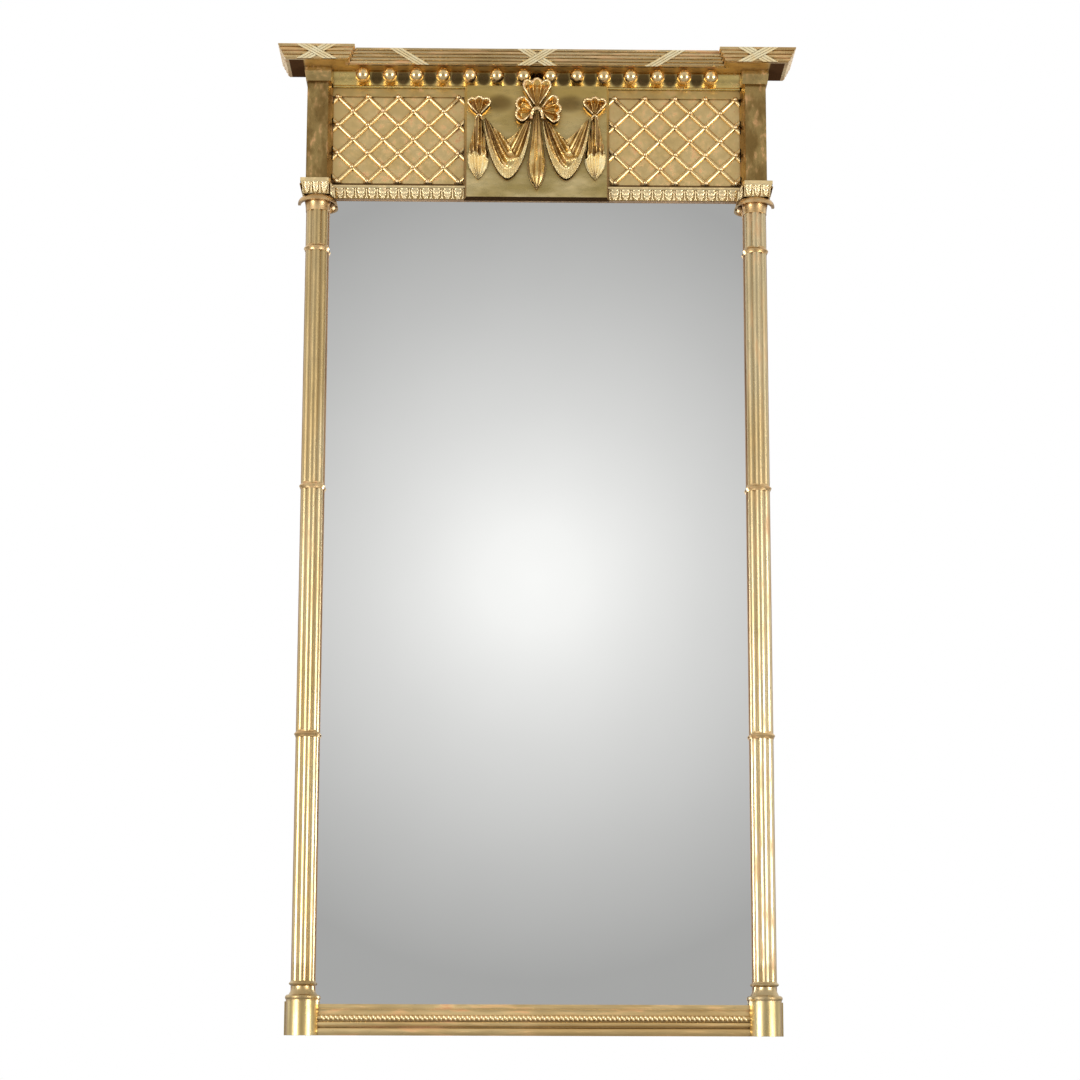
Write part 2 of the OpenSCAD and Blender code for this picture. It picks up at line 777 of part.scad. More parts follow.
// the rope's round core; it lies in the seat with its ends cut to the plinths
module rope_strip() {
    reach = column_x;
    rope_z = foot_bead_h + wave_h + rope_d / 2;
    color(rubbed_gold) difference() {
        run_x(-reach, reach) translate([foot_d - 3.6, rope_z]) circle(d = rope_d);
        for (side = [-1, 1]) on_side(side) {
            at_column() translate([0, 0, -1]) cylinder(r = plinth_r, h = far);
            box(column_x - plinth_r / 2, far, 0, far, -1, far);
        }
    }
}

// ---------- cornice ----------

// plan of the cornice's core, stepping forward at its ends
module core_plan() {
    polygon([[-core_x, 0], [core_x, 0], [core_x, core_end_d], [core_inner_x, core_end_d],
        [core_inner_x, core_centre_d], [-core_inner_x, core_centre_d],
        [-core_inner_x, core_end_d], [-core_x, core_end_d]]);
}

function ball_x(i) = (i - (ball_n - 1) / 2) * ball_pitch;

module cornice_board() {
    color(pine) difference() {
        rise(soffit_z, overall_h) core_plan();
        for (i = [0 : ball_n - 1]) translate([ball_x(i), -ball_depth, soffit_z - 1])
            cylinder(d = peg_d + 2 * peg_fit, h = peg_l + 1.5);
    }
}

module cornice_balls() {
    color(rubbed_gold) for (i = [0 : ball_n - 1])
        translate([ball_x(i), -ball_depth, soffit_z - ball_d / 2]) {
            sphere(d = ball_d);
            cylinder(d = peg_d, h = ball_d / 2 + peg_l);
        }
}

// (depth, height) of the hollow behind the balls, with a bead along its foot
module cove_section() {
    run = cove_top_d - cove_foot_d;
    hollow = cove_h - cove_fillet_h - 3;
    r = (run * run + hollow * hollow) / (2 * run);
    difference() {
        translate([carcass_d, cove_z]) square([cove_top_d - carcass_d, cove_h]);
        intersection() {
            translate([cove_foot_d + r, cove_z + cove_fillet_h]) circle(r = r, $fn = 96);
            translate([carcass_d, cove_z + cove_fillet_h]) square([far, cove_h]);
        }
        translate([cove_foot_d, cove_z - 1]) square([far, cove_fillet_h + 1 + eps]);
    }
    translate([cove_foot_d, cove_z + cove_fillet_h / 2]) circle(d = cove_fillet_h);
}

module cove_moulding() {
    color(gold) difference() {
        run_x(-pilaster_x, pilaster_x) cove_section();
        for (side = [-1, 1]) on_side(side) rise(cove_z - 1, soffit_z + 1) impost_plan(impost_over);
    }
}

// reeds up a slope that leans out by run over height, drawn as (depth, height) from its bottom edge;
// each reed's circle passes its neighbour's a little, so the quirks between them are open angles
module reeded_section(back, bottom, run, height, n) {
    slope = atan2(height, run);
    step = norm([run, height]) / n;
    r = step / 2 * reed_overlap;
    function centre(i) = [bottom + cos(slope) * (i + 0.5) * step - sin(slope) * r,
                          sin(slope) * (i + 0.5) * step + cos(slope) * r];
    intersection() {
        union() {
            polygon([[back, 0], [centre(0)[0], 0], centre(0), centre(n - 1),
                [centre(n - 1)[0], height], [back, height]]);
            for (i = [0 : n - 1]) translate(centre(i)) circle(r = r);
        }
        translate([back, 0]) square([far, height]);
    }
}

// keeps the part of a moulding on one side of a mitre through plan point (x, d);
// way = +1 keeps what lies beyond it in x, and lean = +1 or -1 turns the mitre
module mitred(x, d, way, lean) {
    intersection() {
        children();
        rise(soffit_z - 1, overall_h + 1) polygon([[x + lean * d, 0], [x - lean * far, d + far],
            [x - lean * far + way * 3 * far, d + far], [x + lean * d + way * 3 * far, 0]]);
    }
}

// reeded front of a cornice end, mitred at both ends
module end_front_moulding(side) {
    outer = cornice_x - end_run;
    inner = end_inner_x + end_run;
    color(rubbed_gold) on_side(side)
        mitred(inner, end_bottom_d, 1, 1) mitred(outer, end_bottom_d, -1, -1)
            translate([0, 0, soffit_z]) run_x(end_inner_x - blank_over, cornice_x + blank_over)
                reeded_section(core_end_d, end_bottom_d, end_run, cornice_h, end_reeds);
}

// the same moulding returned along the outer side, back to the wall
module end_outer_return(side) {
    outer = cornice_x - end_run;
    color(rubbed_gold) on_side(side)
        mitred(outer, end_bottom_d, 1, -1)
            translate([0, 0, soffit_z]) run_d(0, end_d + 10)
                reeded_section(outer - moulding_t, outer, end_run, cornice_h, end_reeds);
}

// and along the inner side, back to the centre of the cornice
module inner_return_blank() {
    inner = end_inner_x + end_run;
    translate([0, 0, soffit_z]) run_d(core_centre_d, end_d + 10)
        mirror([1, 0]) reeded_section(-inner - moulding_t, -inner, end_run, cornice_h, end_reeds);
}

module end_inner_return(side) {
    color(rubbed_gold) on_side(side)
        mitred(end_inner_x + end_run, end_bottom_d, -1, 1) inner_return_blank();
}

module centre_cornice_moulding() {
    color(gold) difference() {
        translate([0, 0, soffit_z]) run_x(-core_inner_x, core_inner_x)
            reeded_section(core_centre_d, centre_bottom_d, centre_run, cornice_h, centre_reeds);
        for (side = [-1, 1]) on_side(side) run_d(0, far) polygon([[end_inner_x + end_run, 0],
            [end_inner_x + end_run, soffit_z], [end_inner_x, overall_h],
            [end_inner_x, far], [far, far], [far, 0]]);
    }
}

// lays its children, drawn as (x, distance up the slope, lift), on a moulding's crests
module on_slope(bottom, run) {
    translate([0, -bottom, soffit_z]) rotate([180 - atan2(cornice_h, run), 0, 0]) children();
}

// plan of a ribbon that leans one way across a slope: its whole band, or its raised strands
module ribbon_plan(slope, way, width, count) {
    angle = atan2(slope, tie_w - ribbon_w);
    step = ribbon_w / strand_n;
    translate([0, slope / 2]) rotate(way * angle) for (i = [0 : count - 1])
        translate([-tie_w, (i - (count - 1) / 2) * step - width / 2]) square([2 * tie_w, width]);
}

// a ribbon across a slope; the one that is crossed is cut to let the other pass
module ribbon(slope, way, crossed) {
    for (layer = [1, 2]) linear_extrude(layer * strand_t / 2) difference() {
        intersection() {
            translate([-tie_w, tie_inset]) square([2 * tie_w, slope - 2 * tie_inset]);
            if (layer == 1) ribbon_plan(slope, way, ribbon_w, 1);
            else ribbon_plan(slope, way, strand_w, strand_n);
        }
        if (crossed) ribbon_plan(slope, -way, ribbon_w + 2 * ribbon_gap, 1);
    }
}

module ribbon_ties() {
    color("#d9c48e") {
        on_slope(centre_bottom_d, centre_run) {
            ribbon(centre_slope, 1, false);
            ribbon(centre_slope, -1, true);
            for (side = [-1, 1]) translate([side * single_tie_x, 0]) ribbon(centre_slope, side, false);
        }
        for (side = [-1, 1]) on_slope(end_bottom_d, end_run) translate([side * end_mid_x, 0]) {
            ribbon(end_slope, side, false);
            ribbon(end_slope, -side, true);
        }
    }
}

// ---------- drapery ----------

// Closed relief on the tablet's face from a grid of front points [x, relief, z], rows of equal length.
// Its sides drop square to the face and its back, the same grid laid flat, lies on it.
module relief(grid) {
    rows = len(grid);
    cols = len(grid[0]);
    front = [for (r = grid, p = r) [p[0], -tablet_d - p[1], p[2]]];
    rim = concat(
        [for (c = [0 : cols - 1]) c],
        [for (r = [1 : rows - 1]) r * cols + cols - 1],
        [for (c = [cols - 2 : -1 : 0]) (rows - 1) * cols + c],
        [for (r = [rows - 2 : -1 : 1]) r * cols]);
    n = len(rim);
    behind = rows * cols;
    back = [for (p = front) [p[0], -tablet_d, p[2]]];
    corners = [for (r = [0 : rows - 2], c = [0 : cols - 2]) r * cols + c];
    faces = concat(
        [for (a = corners) [a, a + 1, a + cols]],
        [for (a = corners) [a + 1, a + cols + 1, a + cols]],
        [for (i = [0 : n - 1]) let (j = (i + 1) % n)
            [rim[j], rim[i], behind + rim[i], behind + rim[j]]],
        [for (a = corners) [behind + a + 1, behind + a, behind + a + cols]],
        [for (a = corners) [behind + a + cols + 1, behind + a + 1, behind + a + cols]]);
    polyhedron(concat(front, back), faces, convexity = 6);
}

function mix(a, b, t) = a + (b - a) * t;
function clamp01(t) = min(1, max(0, t));
function ease(t) = clamp01(t) * clamp01(t) * (3 - 2 * clamp01(t));

// Closed relief that spreads from a raised centre along rays [angle, reach], its outline star-shaped.
// A ray is [angle, reach, heights of its steps].
module rosette(x, z, centre_lift, rays) {
    n = len(rays);
    steps = len(rays[0][2]);
    front = [for (ray = rays, k = [1 : steps]) let (d = ray[1] * k / steps)
        [x + d * cos(ray[0]), -tablet_d - ray[2][k - 1], z + d * sin(ray[0])]];
    back = [for (ray = rays) [x + ray[1] * cos(ray[0]), -tablet_d, z + ray[1] * sin(ray[0])]];
    faces = concat(
        [for (i = [0 : n - 1]) let (j = (i + 1) % n) [n * steps + n, j * steps, i * steps]],
        [for (i = [0 : n - 1], k = [0 : steps - 2]) let (j = (i + 1) % n)
            [i * steps + k, j * steps + k, i * steps + k + 1]],
        [for (i = [0 : n - 1], k = [0 : steps - 2]) let (j = (i + 1) % n)
            [j * steps + k, j * steps + k + 1, i * steps + k + 1]],
        [for (i = [0 : n - 1]) let (j = (i + 1) % n)
            [i * steps + steps - 1, j * steps + steps - 1, n * steps + j, n * steps + i]],
        [for (i = [0 : n - 1]) [n * steps + n + 1, n * steps + i, n * steps + (i + 1) % n]]);
    polyhedron(concat(front, back, [[x, -tablet_d - centre_lift, z], [x, -tablet_d, z]]), faces,
        convexity = 6);
}

// a bump of one half wave, 1 where t is 0 and 0 past t = -1 and 1
function bump(t) = abs(t) < 1 ? 0.5 + 0.5 * cos(180 * t) : 0;

// A swag between two ties: two gathered arms that meet below a notch and fall to a rounded point.
// The folds of the arm on side over (+1 or -1) sweep across the middle and lie on the other's.
function swag_point(u, v, over) =
    let (s = 2 * u - 1,
         top = [(swag_half_w - 1.5) * s, arm_h / 2 - (swag_notch + arm_h / 2) * (1 - pow(abs(s), 1.2))],
         low = [swag_half_w * sign(s) * (1 - pow(1 - abs(s), 1.6)),
                -swag_h * (1 - pow(abs(s), 1.8)) - arm_h / 2])
    [mix(top[0], low[0], v), swag_lift(s, v, s * over), mix(top[1], low[1], v)];

function swag_lift(s, v, t) =
    let (crease = 0.02 - 0.75 * v,
         above = ease((t - crease) / 0.14),
         sweep = 0.5 + 0.5 * cos(360 * (swag_folds * (v - 0.34 * (1 - t)) + 0.1)),
         under = 0.5 + 0.5 * cos(360 * ((swag_folds - 0.5) * (v - 0.3 * (1 + t)) + 0.35)),
         arch = sin(180 * mix(0.2, 0.8, v)),
         tied = 0.3 + 0.7 * (1 - pow(abs(s), 5)),
         full = (swag_relief - hem_t) * tied * arch,
         cloth = full * mix(0.30 + 0.42 * under, 0.42 + 0.58 * sweep, above))
    hem_t + mix(cloth, full * 0.34 + 1.5, ease((v - 1 + fringe_share) / 0.03));

module swag(side) {
    across = 34;
    down = 18;
    color(gold) on_side(side) relief([for (r = [0 : down])
        [for (c = [0 : across]) let (p = swag_point(c / across, r / down, -side))
            [swag_x + p[0], p[1], tie_z + p[2]]]]);
}

// height of a fold across a strip, ribs being counted across it
function rib(s, ribs) = 0.5 + 0.5 * cos(180 * ribs * s);

// half widths down a tail, as [share of its height, share of its fullest half width]
tail_shape = [[0, 0.27], [0.2, 0.44], [0.45, 0.72], [0.62, 0.93], [0.71, 1], [0.81, 0.92], [0.91, 0.58],
    [1, 0.12]];
drop_outer = [[0, 0.26], [0.08, 0.36], [0.2, 0.62], [0.35, 0.84], [0.46, 1], [0.62, 0.98], [0.74, 0.86],
    [0.86, 0.56], [1, 0.1]];
drop_inner = [[0, 0.26], [0.1, 0.3], [0.34, 0.46], [0.54, 0.76], [0.68, 0.97], [0.76, 1], [0.86, 0.66],
    [1, 0.1]];

// the hanging tail at the middle: narrow where it is tied, full near its foot, its lining turned out
module centre_drop() {
    rows = 26;
    cols = 14;
    color(rubbed_gold) relief([for (r = [0 : rows])
        let (v = r / rows, half = centre_drop_half_w * lookup(v, tail_shape))
        [for (c = [0 : cols]) let (s = 2 * c / cols - 1)
            [half * s, edge_t + centre_drop_lift(v, s), tie_z + 8 - centre_drop_h * v]]]);
}

function centre_drop_lift(v, s) =
    let (round = sqrt(1 - 0.88 * s * s),
         folds = mix(0.66, 1, rib(s - 0.12 * v, 3)),
         hem = 0.74 + 0.1 * s,
         lining = ease((v - hem) / 0.03),
         cloth = mix(8, 17, ease(v / 0.65)) * folds,
         inside = mix(12, 7, ease((v - hem) / 0.3)) * mix(0.7, 1, rib(s, 5)))
    round * mix(cloth, inside, lining);

// a pleated fan: q runs down from its scalloped edge to its tie, s across
function fan_half(q) = fan_half_w
    * (q < 0.15 ? 0.9 + 0.1 * sin(600 * q) : mix(1, 0.26, pow((q - 0.15) / 0.85, 0.9)));
function fan_dip(s) = fan_h * (0.07 + 0.07 * cos(360 * (abs(s) - 0.2) / 0.5) + 0.05 * pow(abs(s), 6));
function fan_lift(q, s) =
    let (rim = max(ease((abs(s) - 0.62) / 0.25), 0.8 * ease((0.2 - q) / 0.12)),
         pleat = bump(s / 0.3) + 0.5 * bump((abs(s) - 0.45) / 0.12))
    mix(mix(3.5 + 4.5 * pleat, 13, rim), 9, ease((q - 0.8) / 0.2)) * (q == 0 ? 0.7 : 1);

// the tail under a fan: a narrow ridge with a fold behind it, then a full skirt with a stepped hem
function side_tail_lift(v, s) =
    let (round = sqrt(1 - 0.8 * s * s),
         ridge = bump(s / mix(0.9, 0.45, ease(v / 0.3))) * (1 - ease((v - 0.32) / 0.08)),
         skirt = mix(6, 14, ease((v - 0.2) / 0.35)) * mix(0.62, 1, rib(s + 0.1, 3)),
         ruffle = 3 * bump((v - 0.38 - 0.08 * s) / 0.05) * ease(s + 0.8),
         hem = 0.68 - 0.09 * s + 0.02 * cos(720 * s),
         lining = ease((v - hem) / 0.035),
         inside = mix(9, 6, ease((v - hem) / 0.3)) * mix(0.62, 1, rib(s, 5)))
    round * mix(skirt + ruffle, inside, lining) + 6 * ridge + 4 * bump(v / 0.05);

module side_drop(side) {
    fan_rows = 9;
    tail_rows = 26;
    cols = 16;
    fan = [for (r = [0 : fan_rows - 1]) let (q = r / fan_rows)
        [for (c = [0 : cols]) let (s = 2 * c / cols - 1)
            [drop_x + s * fan_half(q), edge_t + fan_lift(q, s),
                drop_tie_z + mix(fan_h - fan_dip(s), 0, q)]]];
    tail = [for (r = [0 : tail_rows]) let (v = r / tail_rows)
        [for (c = [0 : cols]) let (s = 2 * c / cols - 1, half = lookup(v, s < 0 ? drop_inner : drop_outer))
            [drop_x + s * side_drop_half_w * half, edge_t + side_tail_lift(v, s),
                drop_tie_z - side_drop_h * v]]];
    color(rubbed_gold) on_side(side) relief(concat(fan, tail));
}

// The bow's loops as [middle angle, half its spread, reach, number of curls along its rim];
// the last two are the knot's legs.
bow_loops = [[6, 35, bow_side, 1.5], [90, 30, bow_h, 1.28], [174, 35, bow_side, 1.5],
    [236, 12, leg_l, 0.5], [304, 12, leg_l, 0.5]];

// reach of a loop where a runs across it from -1 to 1
function loop_reach(l, a) = l[2] * (0.93 + 0.07 * cos(360 * l[3] * a)) * (1 - 0.1 * pow(abs(a), 8));

// a loop is hollow inside raised rims; t runs out from the knot
function loop_lift(l, a, t) =
    let (rim = max(pow(abs(a), 4), 0.9 * ease((t - 0.76) / 0.14)),
         pleat = rib(a, 4) * t,
         curl = 3 * cos(360 * l[3] * a) * ease((t - 0.7) / 0.2))
    mix(4 + 3.5 * pleat, 14 + curl, rim) * (t == 1 ? 0.7 : 1);

// height of the knot's boss at a distance from its centre
function knot_lift(d) = d < knot_r + 1 ? 9 + (swag_relief - 9) * sqrt(1 - pow(d / (knot_r + 1), 2)) : 0;

function bow_rays() =
    let (steps = 9, across = 14, gap_r = knot_r + 2)
    [for (l = bow_loops, i = [-1 : (l[2] == leg_l ? across / 2 : across) + 1])
        let (last = l[2] == leg_l ? across / 2 : across,
             gap = i < 0 || i > last,
             a = clamp01(i / last) * 2 - 1,
             reach = gap ? gap_r : loop_reach(l, a))
        [l[0] + l[1] * a + (gap ? 2.5 * a : 0), reach, [for (k = [1 : steps]) let (t = k / steps)
            max(knot_lift(reach * t), gap ? hem_t + 3 : loop_lift(l, a, t))]]];

module bow() {
    color(gold) rosette(0, knot_z, swag_relief + 1, bow_rays());
}

// ---------- hangers on the back of the frieze rail ----------

module at_hanger() {
    translate([hanger_x, -hinge_d, hinge_z]) children();
}

// screws of the right-hand hanger, driven forward from the plate's face
module screws(d, l, head) {
    for (x = [-1, 1])
        translate([hanger_x + x * hanger_w / 4, -rail_back_d + hanger_t, hinge_z - hanger_h * 0.62])
            rotate([90, 0, 0]) {
                translate([0, 0, head > 0 ? 0 : -1]) cylinder(d = d, h = l + hanger_t + (head > 0 ? 0 : 1));
                if (head > 0) cylinder(d1 = head, d2 = d, h = hanger_t);
            }
}

module hanger_plate(side) {
    color("#b08d3c") on_side(side) difference() {
        union() {
            translate([hanger_x - hanger_w / 2, -rail_back_d, hinge_z - hanger_h])
                cube([hanger_w, hanger_t, hanger_h]);
            at_hanger() translate([-hanger_w / 2, 0, 0]) rotate([0, 90, 0])
                cylinder(r = knuckle_r, h = hanger_w);
        }
        at_hanger() translate([-hanger_w, 0, 0]) rotate([0, 90, 0])
            cylinder(r = wire_r + wire_fit, h = 2 * hanger_w);
        screws(screw_d + 2 * screw_fit, 1, screw_head_d + 2 * screw_fit);
    }
}

// a wire ring hanging from the knuckle: two sides, two bars and four rounded corners
module hanging_ring(side) {
    bend = 3 * wire_r;
    half = hang_w / 2 + wire_r;
    color("#b08d3c") on_side(side) at_hanger() {
        for (z = [0, -hang_h]) translate([bend - half, 0, z]) rotate([0, 90, 0])
            cylinder(r = wire_r, h = 2 * (half - bend));
        for (x = [-half, half]) translate([x, 0, bend - hang_h]) cylinder(r = wire_r, h = hang_h - 2 * bend);
        for (x = [-1, 1], z = [0, 1])
            translate([x * (half - bend), 0, z == 0 ? -bend : bend - hang_h])
                mirror([x < 0 ? 1 : 0, 0, 0]) mirror([0, 0, z]) rotate([90, 0, 0])
                    rotate_extrude(angle = 90) translate([bend, 0]) circle(r = wire_r);
    }
}

module hanger_screws() {
    color("#8d8a84") for (side = [-1, 1]) on_side(side) screws(screw_d, screw_l, screw_head_d);
}

// ---------- the assembly ----------

stile(-1);  // left_stile
stile(1);  // right_stile
bottom_rail();
frieze_rail();
mirror_plate();
backboard(0);  // backboard_lower
backboard(1);  // backboard_middle
backboard(2);  // backboard_upper
backboard_nails();
tablet();
trellis_ground(-1);  // left_trellis_ground
trellis_ground(1);  // right_trellis_ground
trellis_lattice(-1);  // left_trellis_lattice
trellis_lattice(1);  // right_trellis_lattice
trellis_beads();
frieze_fillet(-1);  // left_frieze_fillet
frieze_fillet(1);  // right_frieze_fillet
leaf_moulding(-1);  // left_leaf_moulding
leaf_moulding(1);  // right_leaf_moulding
pilaster(-1);  // left_pilaster
pilaster(1);  // right_pilaster
impost_block(-1);  // left_impost_block
impost_block(1);  // right_impost_block
capital_block(-1);  // left_capital_block
capital_block(1);  // right_capital_block
collar(-1);  // left_collar
collar(1);  // right_collar
column(-1);  // left_column
column(1);  // right_column
column_rings();
column_base(-1);  // left_column_base
column_base(1);  // right_column_base
plinth(-1);  // left_plinth
plinth(1);  // right_plinth
bottom_moulding();
rope_strip();
cornice_board();
cove_moulding();
centre_cornice_moulding();
end_front_moulding(-1);  // left_end_front_moulding
end_front_moulding(1);  // right_end_front_moulding
end_outer_return(-1);  // left_end_outer_return
end_outer_return(1);  // right_end_outer_return
end_inner_return(-1);  // left_end_inner_return
end_inner_return(1);  // right_end_inner_return
ribbon_ties();
cornice_balls();
bow();
swag(-1);  // left_swag
swag(1);  // right_swag
centre_drop();
side_drop(-1);  // left_drop
side_drop(1);  // right_drop
hanger_plate(-1);  // left_hanger_plate
hanger_plate(1);  // right_hanger_plate
hanging_ring(-1);  // left_hanging_ring
hanging_ring(1);  // right_hanging_ring
hanger_screws();
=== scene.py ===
"""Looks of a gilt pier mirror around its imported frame: gilding, carving, glass, back and studio."""

import math

import bmesh
import bpy
from mathutils import Matrix, Vector


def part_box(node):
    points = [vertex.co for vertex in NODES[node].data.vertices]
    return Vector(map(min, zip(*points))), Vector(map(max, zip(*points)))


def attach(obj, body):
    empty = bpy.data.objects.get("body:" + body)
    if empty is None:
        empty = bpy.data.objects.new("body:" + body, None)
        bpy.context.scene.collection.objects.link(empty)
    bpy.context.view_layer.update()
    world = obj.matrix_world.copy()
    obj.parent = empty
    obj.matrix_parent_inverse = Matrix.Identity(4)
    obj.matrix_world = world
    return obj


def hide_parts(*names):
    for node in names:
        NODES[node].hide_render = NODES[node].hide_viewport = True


bl_info = {
    "name": "Pier Mirror",
    "version": (1, 0, 0),
    "blender": (4, 5, 0),
    "location": "View3D > Sidebar > Pier Mirror",
    "description": "Gilding, carving, glass, back and studio of a packed pier mirror",
    "category": "Object",
}

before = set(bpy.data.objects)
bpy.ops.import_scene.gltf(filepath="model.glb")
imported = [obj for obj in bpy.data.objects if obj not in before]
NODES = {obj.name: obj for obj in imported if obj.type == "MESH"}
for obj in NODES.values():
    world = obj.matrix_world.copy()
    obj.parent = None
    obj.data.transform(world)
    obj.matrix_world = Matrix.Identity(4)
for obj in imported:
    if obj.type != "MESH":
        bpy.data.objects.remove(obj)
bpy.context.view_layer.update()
MM = 0.001
SIDES = ("left", "right")


# ---------- settings ----------

def colour(name, text, default):
    """A colour property, its default in linear values."""
    return bpy.props.FloatVectorProperty(name=name, description=text, subtype="COLOR", size=3,
                                         min=0.0, max=1.0, default=default)


def length(name, text, default):
    """A length property in metres."""
    return bpy.props.FloatProperty(name=name, description=text, unit="LENGTH", min=0.0,
                                   default=default)


class GildingSettings(bpy.types.PropertyGroup):
    """Colours and wear of the gilded surfaces."""

    pale: colour("Pale leaf", "Leaf of the carved mouldings", (0.87, 0.71, 0.41))
    olive: colour("Olive leaf", "Matt leaf of the tablet", (0.505, 0.38, 0.14))
    bole: colour("Bole", "Red clay that shows where the leaf is rubbed", (0.60, 0.31, 0.14))
    # the colour of dirt and of painted shade in quirks and hollows
    dirt_and_shade: colour("Dirt", "What gathers in quirks and hollows", (0.16, 0.075, 0.022))
    ochre: colour("Ochre", "Size paint on outer sides, which have no leaf", (0.26, 0.155, 0.065))
    rubbed: bpy.props.FloatProperty(name="Rubbing", description="Share of the leaf rubbed through",
                                    subtype="FACTOR", min=0.0, max=1.0, default=0.30)
    patch: length("Patch size", "Size of the broad changes of tone", 0.045)


class CarvingSettings(bpy.types.PropertyGroup):
    """Sizes of the carved ornament."""

    leaf_pitch: length("Leaf spacing", "Width of one carved leaf with its dart", 0.0183)
    leaf_relief: length("Leaf relief", "Height of the leaves over their moulding", 0.0034)
    twist_pitch: length("Rope spacing", "Distance between neighbouring strands", 0.0073)
    crimps: bpy.props.IntProperty(name="Fringe", description="Threads along a swag's fringe",
                                  min=8, default=96)


class StudioSettings(bpy.types.PropertyGroup):
    """Lamps, floor and surroundings."""

    lamp_side: length("Lamp distance sideways", "From the middle plane to each softbox", 3.2)
    lamp_front: length("Lamp distance in front", "From the wall plane to each softbox", 3.2)
    lamp_height: length("Lamp height", "Height of the softboxes over the mirror's foot", 0.35)
    lamp_power: bpy.props.FloatProperty(name="Lamp power", description="Power of each softbox",
                                        unit="POWER", min=0.0, default=96.0)
    floor_drop: length("Floor", "How far the floor lies below the mirror's foot", 0.9)


# ---------- shader helpers ----------

class Nodes:
    """Short calls that build a node tree."""

    def __init__(self, tree):
        self.tree = tree

    def node(self, kind, inputs=None, **settings):
        """A new node with links or values by socket, and its own settings."""
        made = self.tree.nodes.new(kind)
        for key, value in settings.items():
            setattr(made, key, value)
        for key, value in (inputs or {}).items():
            self.put(made.inputs[key], value)
        return made

    def put(self, socket, value):
        """Links an output to a socket, or sets the socket's own value."""
        if isinstance(value, bpy.types.NodeSocket):
            self.tree.links.new(value, socket)
        elif socket.type == "RGBA":
            socket.default_value = (*value, 1.0)
        else:
            socket.default_value = value

    def part(self, vector, axis):
        """One coordinate of a vector, axis being X, Y or Z."""
        return self.node("ShaderNodeSeparateXYZ", {0: vector}).outputs[axis]

    def step(self, value, low, high, bottom=0.0, top=1.0):
        """Maps low..high of a value to bottom..top, smoothly and clamped."""
        inputs = {"Value": value, "From Min": low, "From Max": high, "To Min": bottom,
                  "To Max": top}
        made = self.node("ShaderNodeMapRange", inputs, interpolation_type="SMOOTHSTEP")
        return made.outputs["Result"]

    def maths(self, operation, a, b=0.0):
        return self.node("ShaderNodeMath", {0: a, 1: b}, operation=operation).outputs[0]

    def times(self, a, b):
        return self.maths("MULTIPLY", a, b)

    def squared(self, value, middle, reach):
        """The square of a value's distance from a middle, which is 1 at the reach."""
        away = self.maths("SUBTRACT", value, middle)
        return self.maths("POWER", self.maths("DIVIDE", away, reach), 2.0)

    def mix(self, share_of_b, a, b):
        """A colour between a and b."""
        inputs = {"Factor": share_of_b, 6: a, 7: b}
        return self.node("ShaderNodeMix", inputs, data_type="RGBA").outputs[2]


class Finish(Nodes):
    """A material's node tree, with what the finishes share."""

    def __init__(self, name):
        self.material = bpy.data.materials.new(name)
        self.material.use_nodes = True
        super().__init__(self.material.node_tree)
        self.surface = self.tree.nodes["Principled BSDF"]
        where = self.node("ShaderNodeTexCoord")
        self.place = where.outputs["Object"]
        self.facing = where.outputs["Normal"]

    def along(self, axis):
        """One coordinate of the place on the part, in metres."""
        return self.part(self.place, axis)

    def noise(self, size, detail=3.0, roughness=0.55, stretch=None):
        """Noise whose features are about size metres."""
        place = self.place
        if stretch:
            mapping = self.node("ShaderNodeMapping", {"Vector": place, "Scale": stretch})
            place = mapping.outputs["Vector"]
        inputs = {"Scale": 1.0 / size, "Detail": detail, "Roughness": roughness, "Vector": place}
        return self.node("ShaderNodeTexNoise", inputs).outputs["Fac"]

    def bump(self, height, distance, strength, before=None):
        inputs = {"Height": height, "Distance": distance, "Strength": strength}
        if before is not None:
            inputs["Normal"] = before
        return self.node("ShaderNodeBump", inputs).outputs["Normal"]

    def shelter(self, distance):
        """1 in the open and towards 0 in quirks and hollows."""
        return self.node("ShaderNodeAmbientOcclusion", {"Distance": distance},
                         samples=6).outputs["AO"]

    def set(self, **inputs):
        """Sets the surface's own sockets, named with underscores for spaces."""
        for key, value in inputs.items():
            self.put(self.surface.inputs[key.replace("_", " ")], value)
        return self.material


def dress(material, *names):
    """Gives CAD nodes a material."""
    for name in names:
        slots = NODES[name].data.materials
        slots.clear()
        slots.append(material)


def both(*names):
    """The left and right nodes of each name."""
    return [f"{side}_{name}" for name in names for side in SIDES]


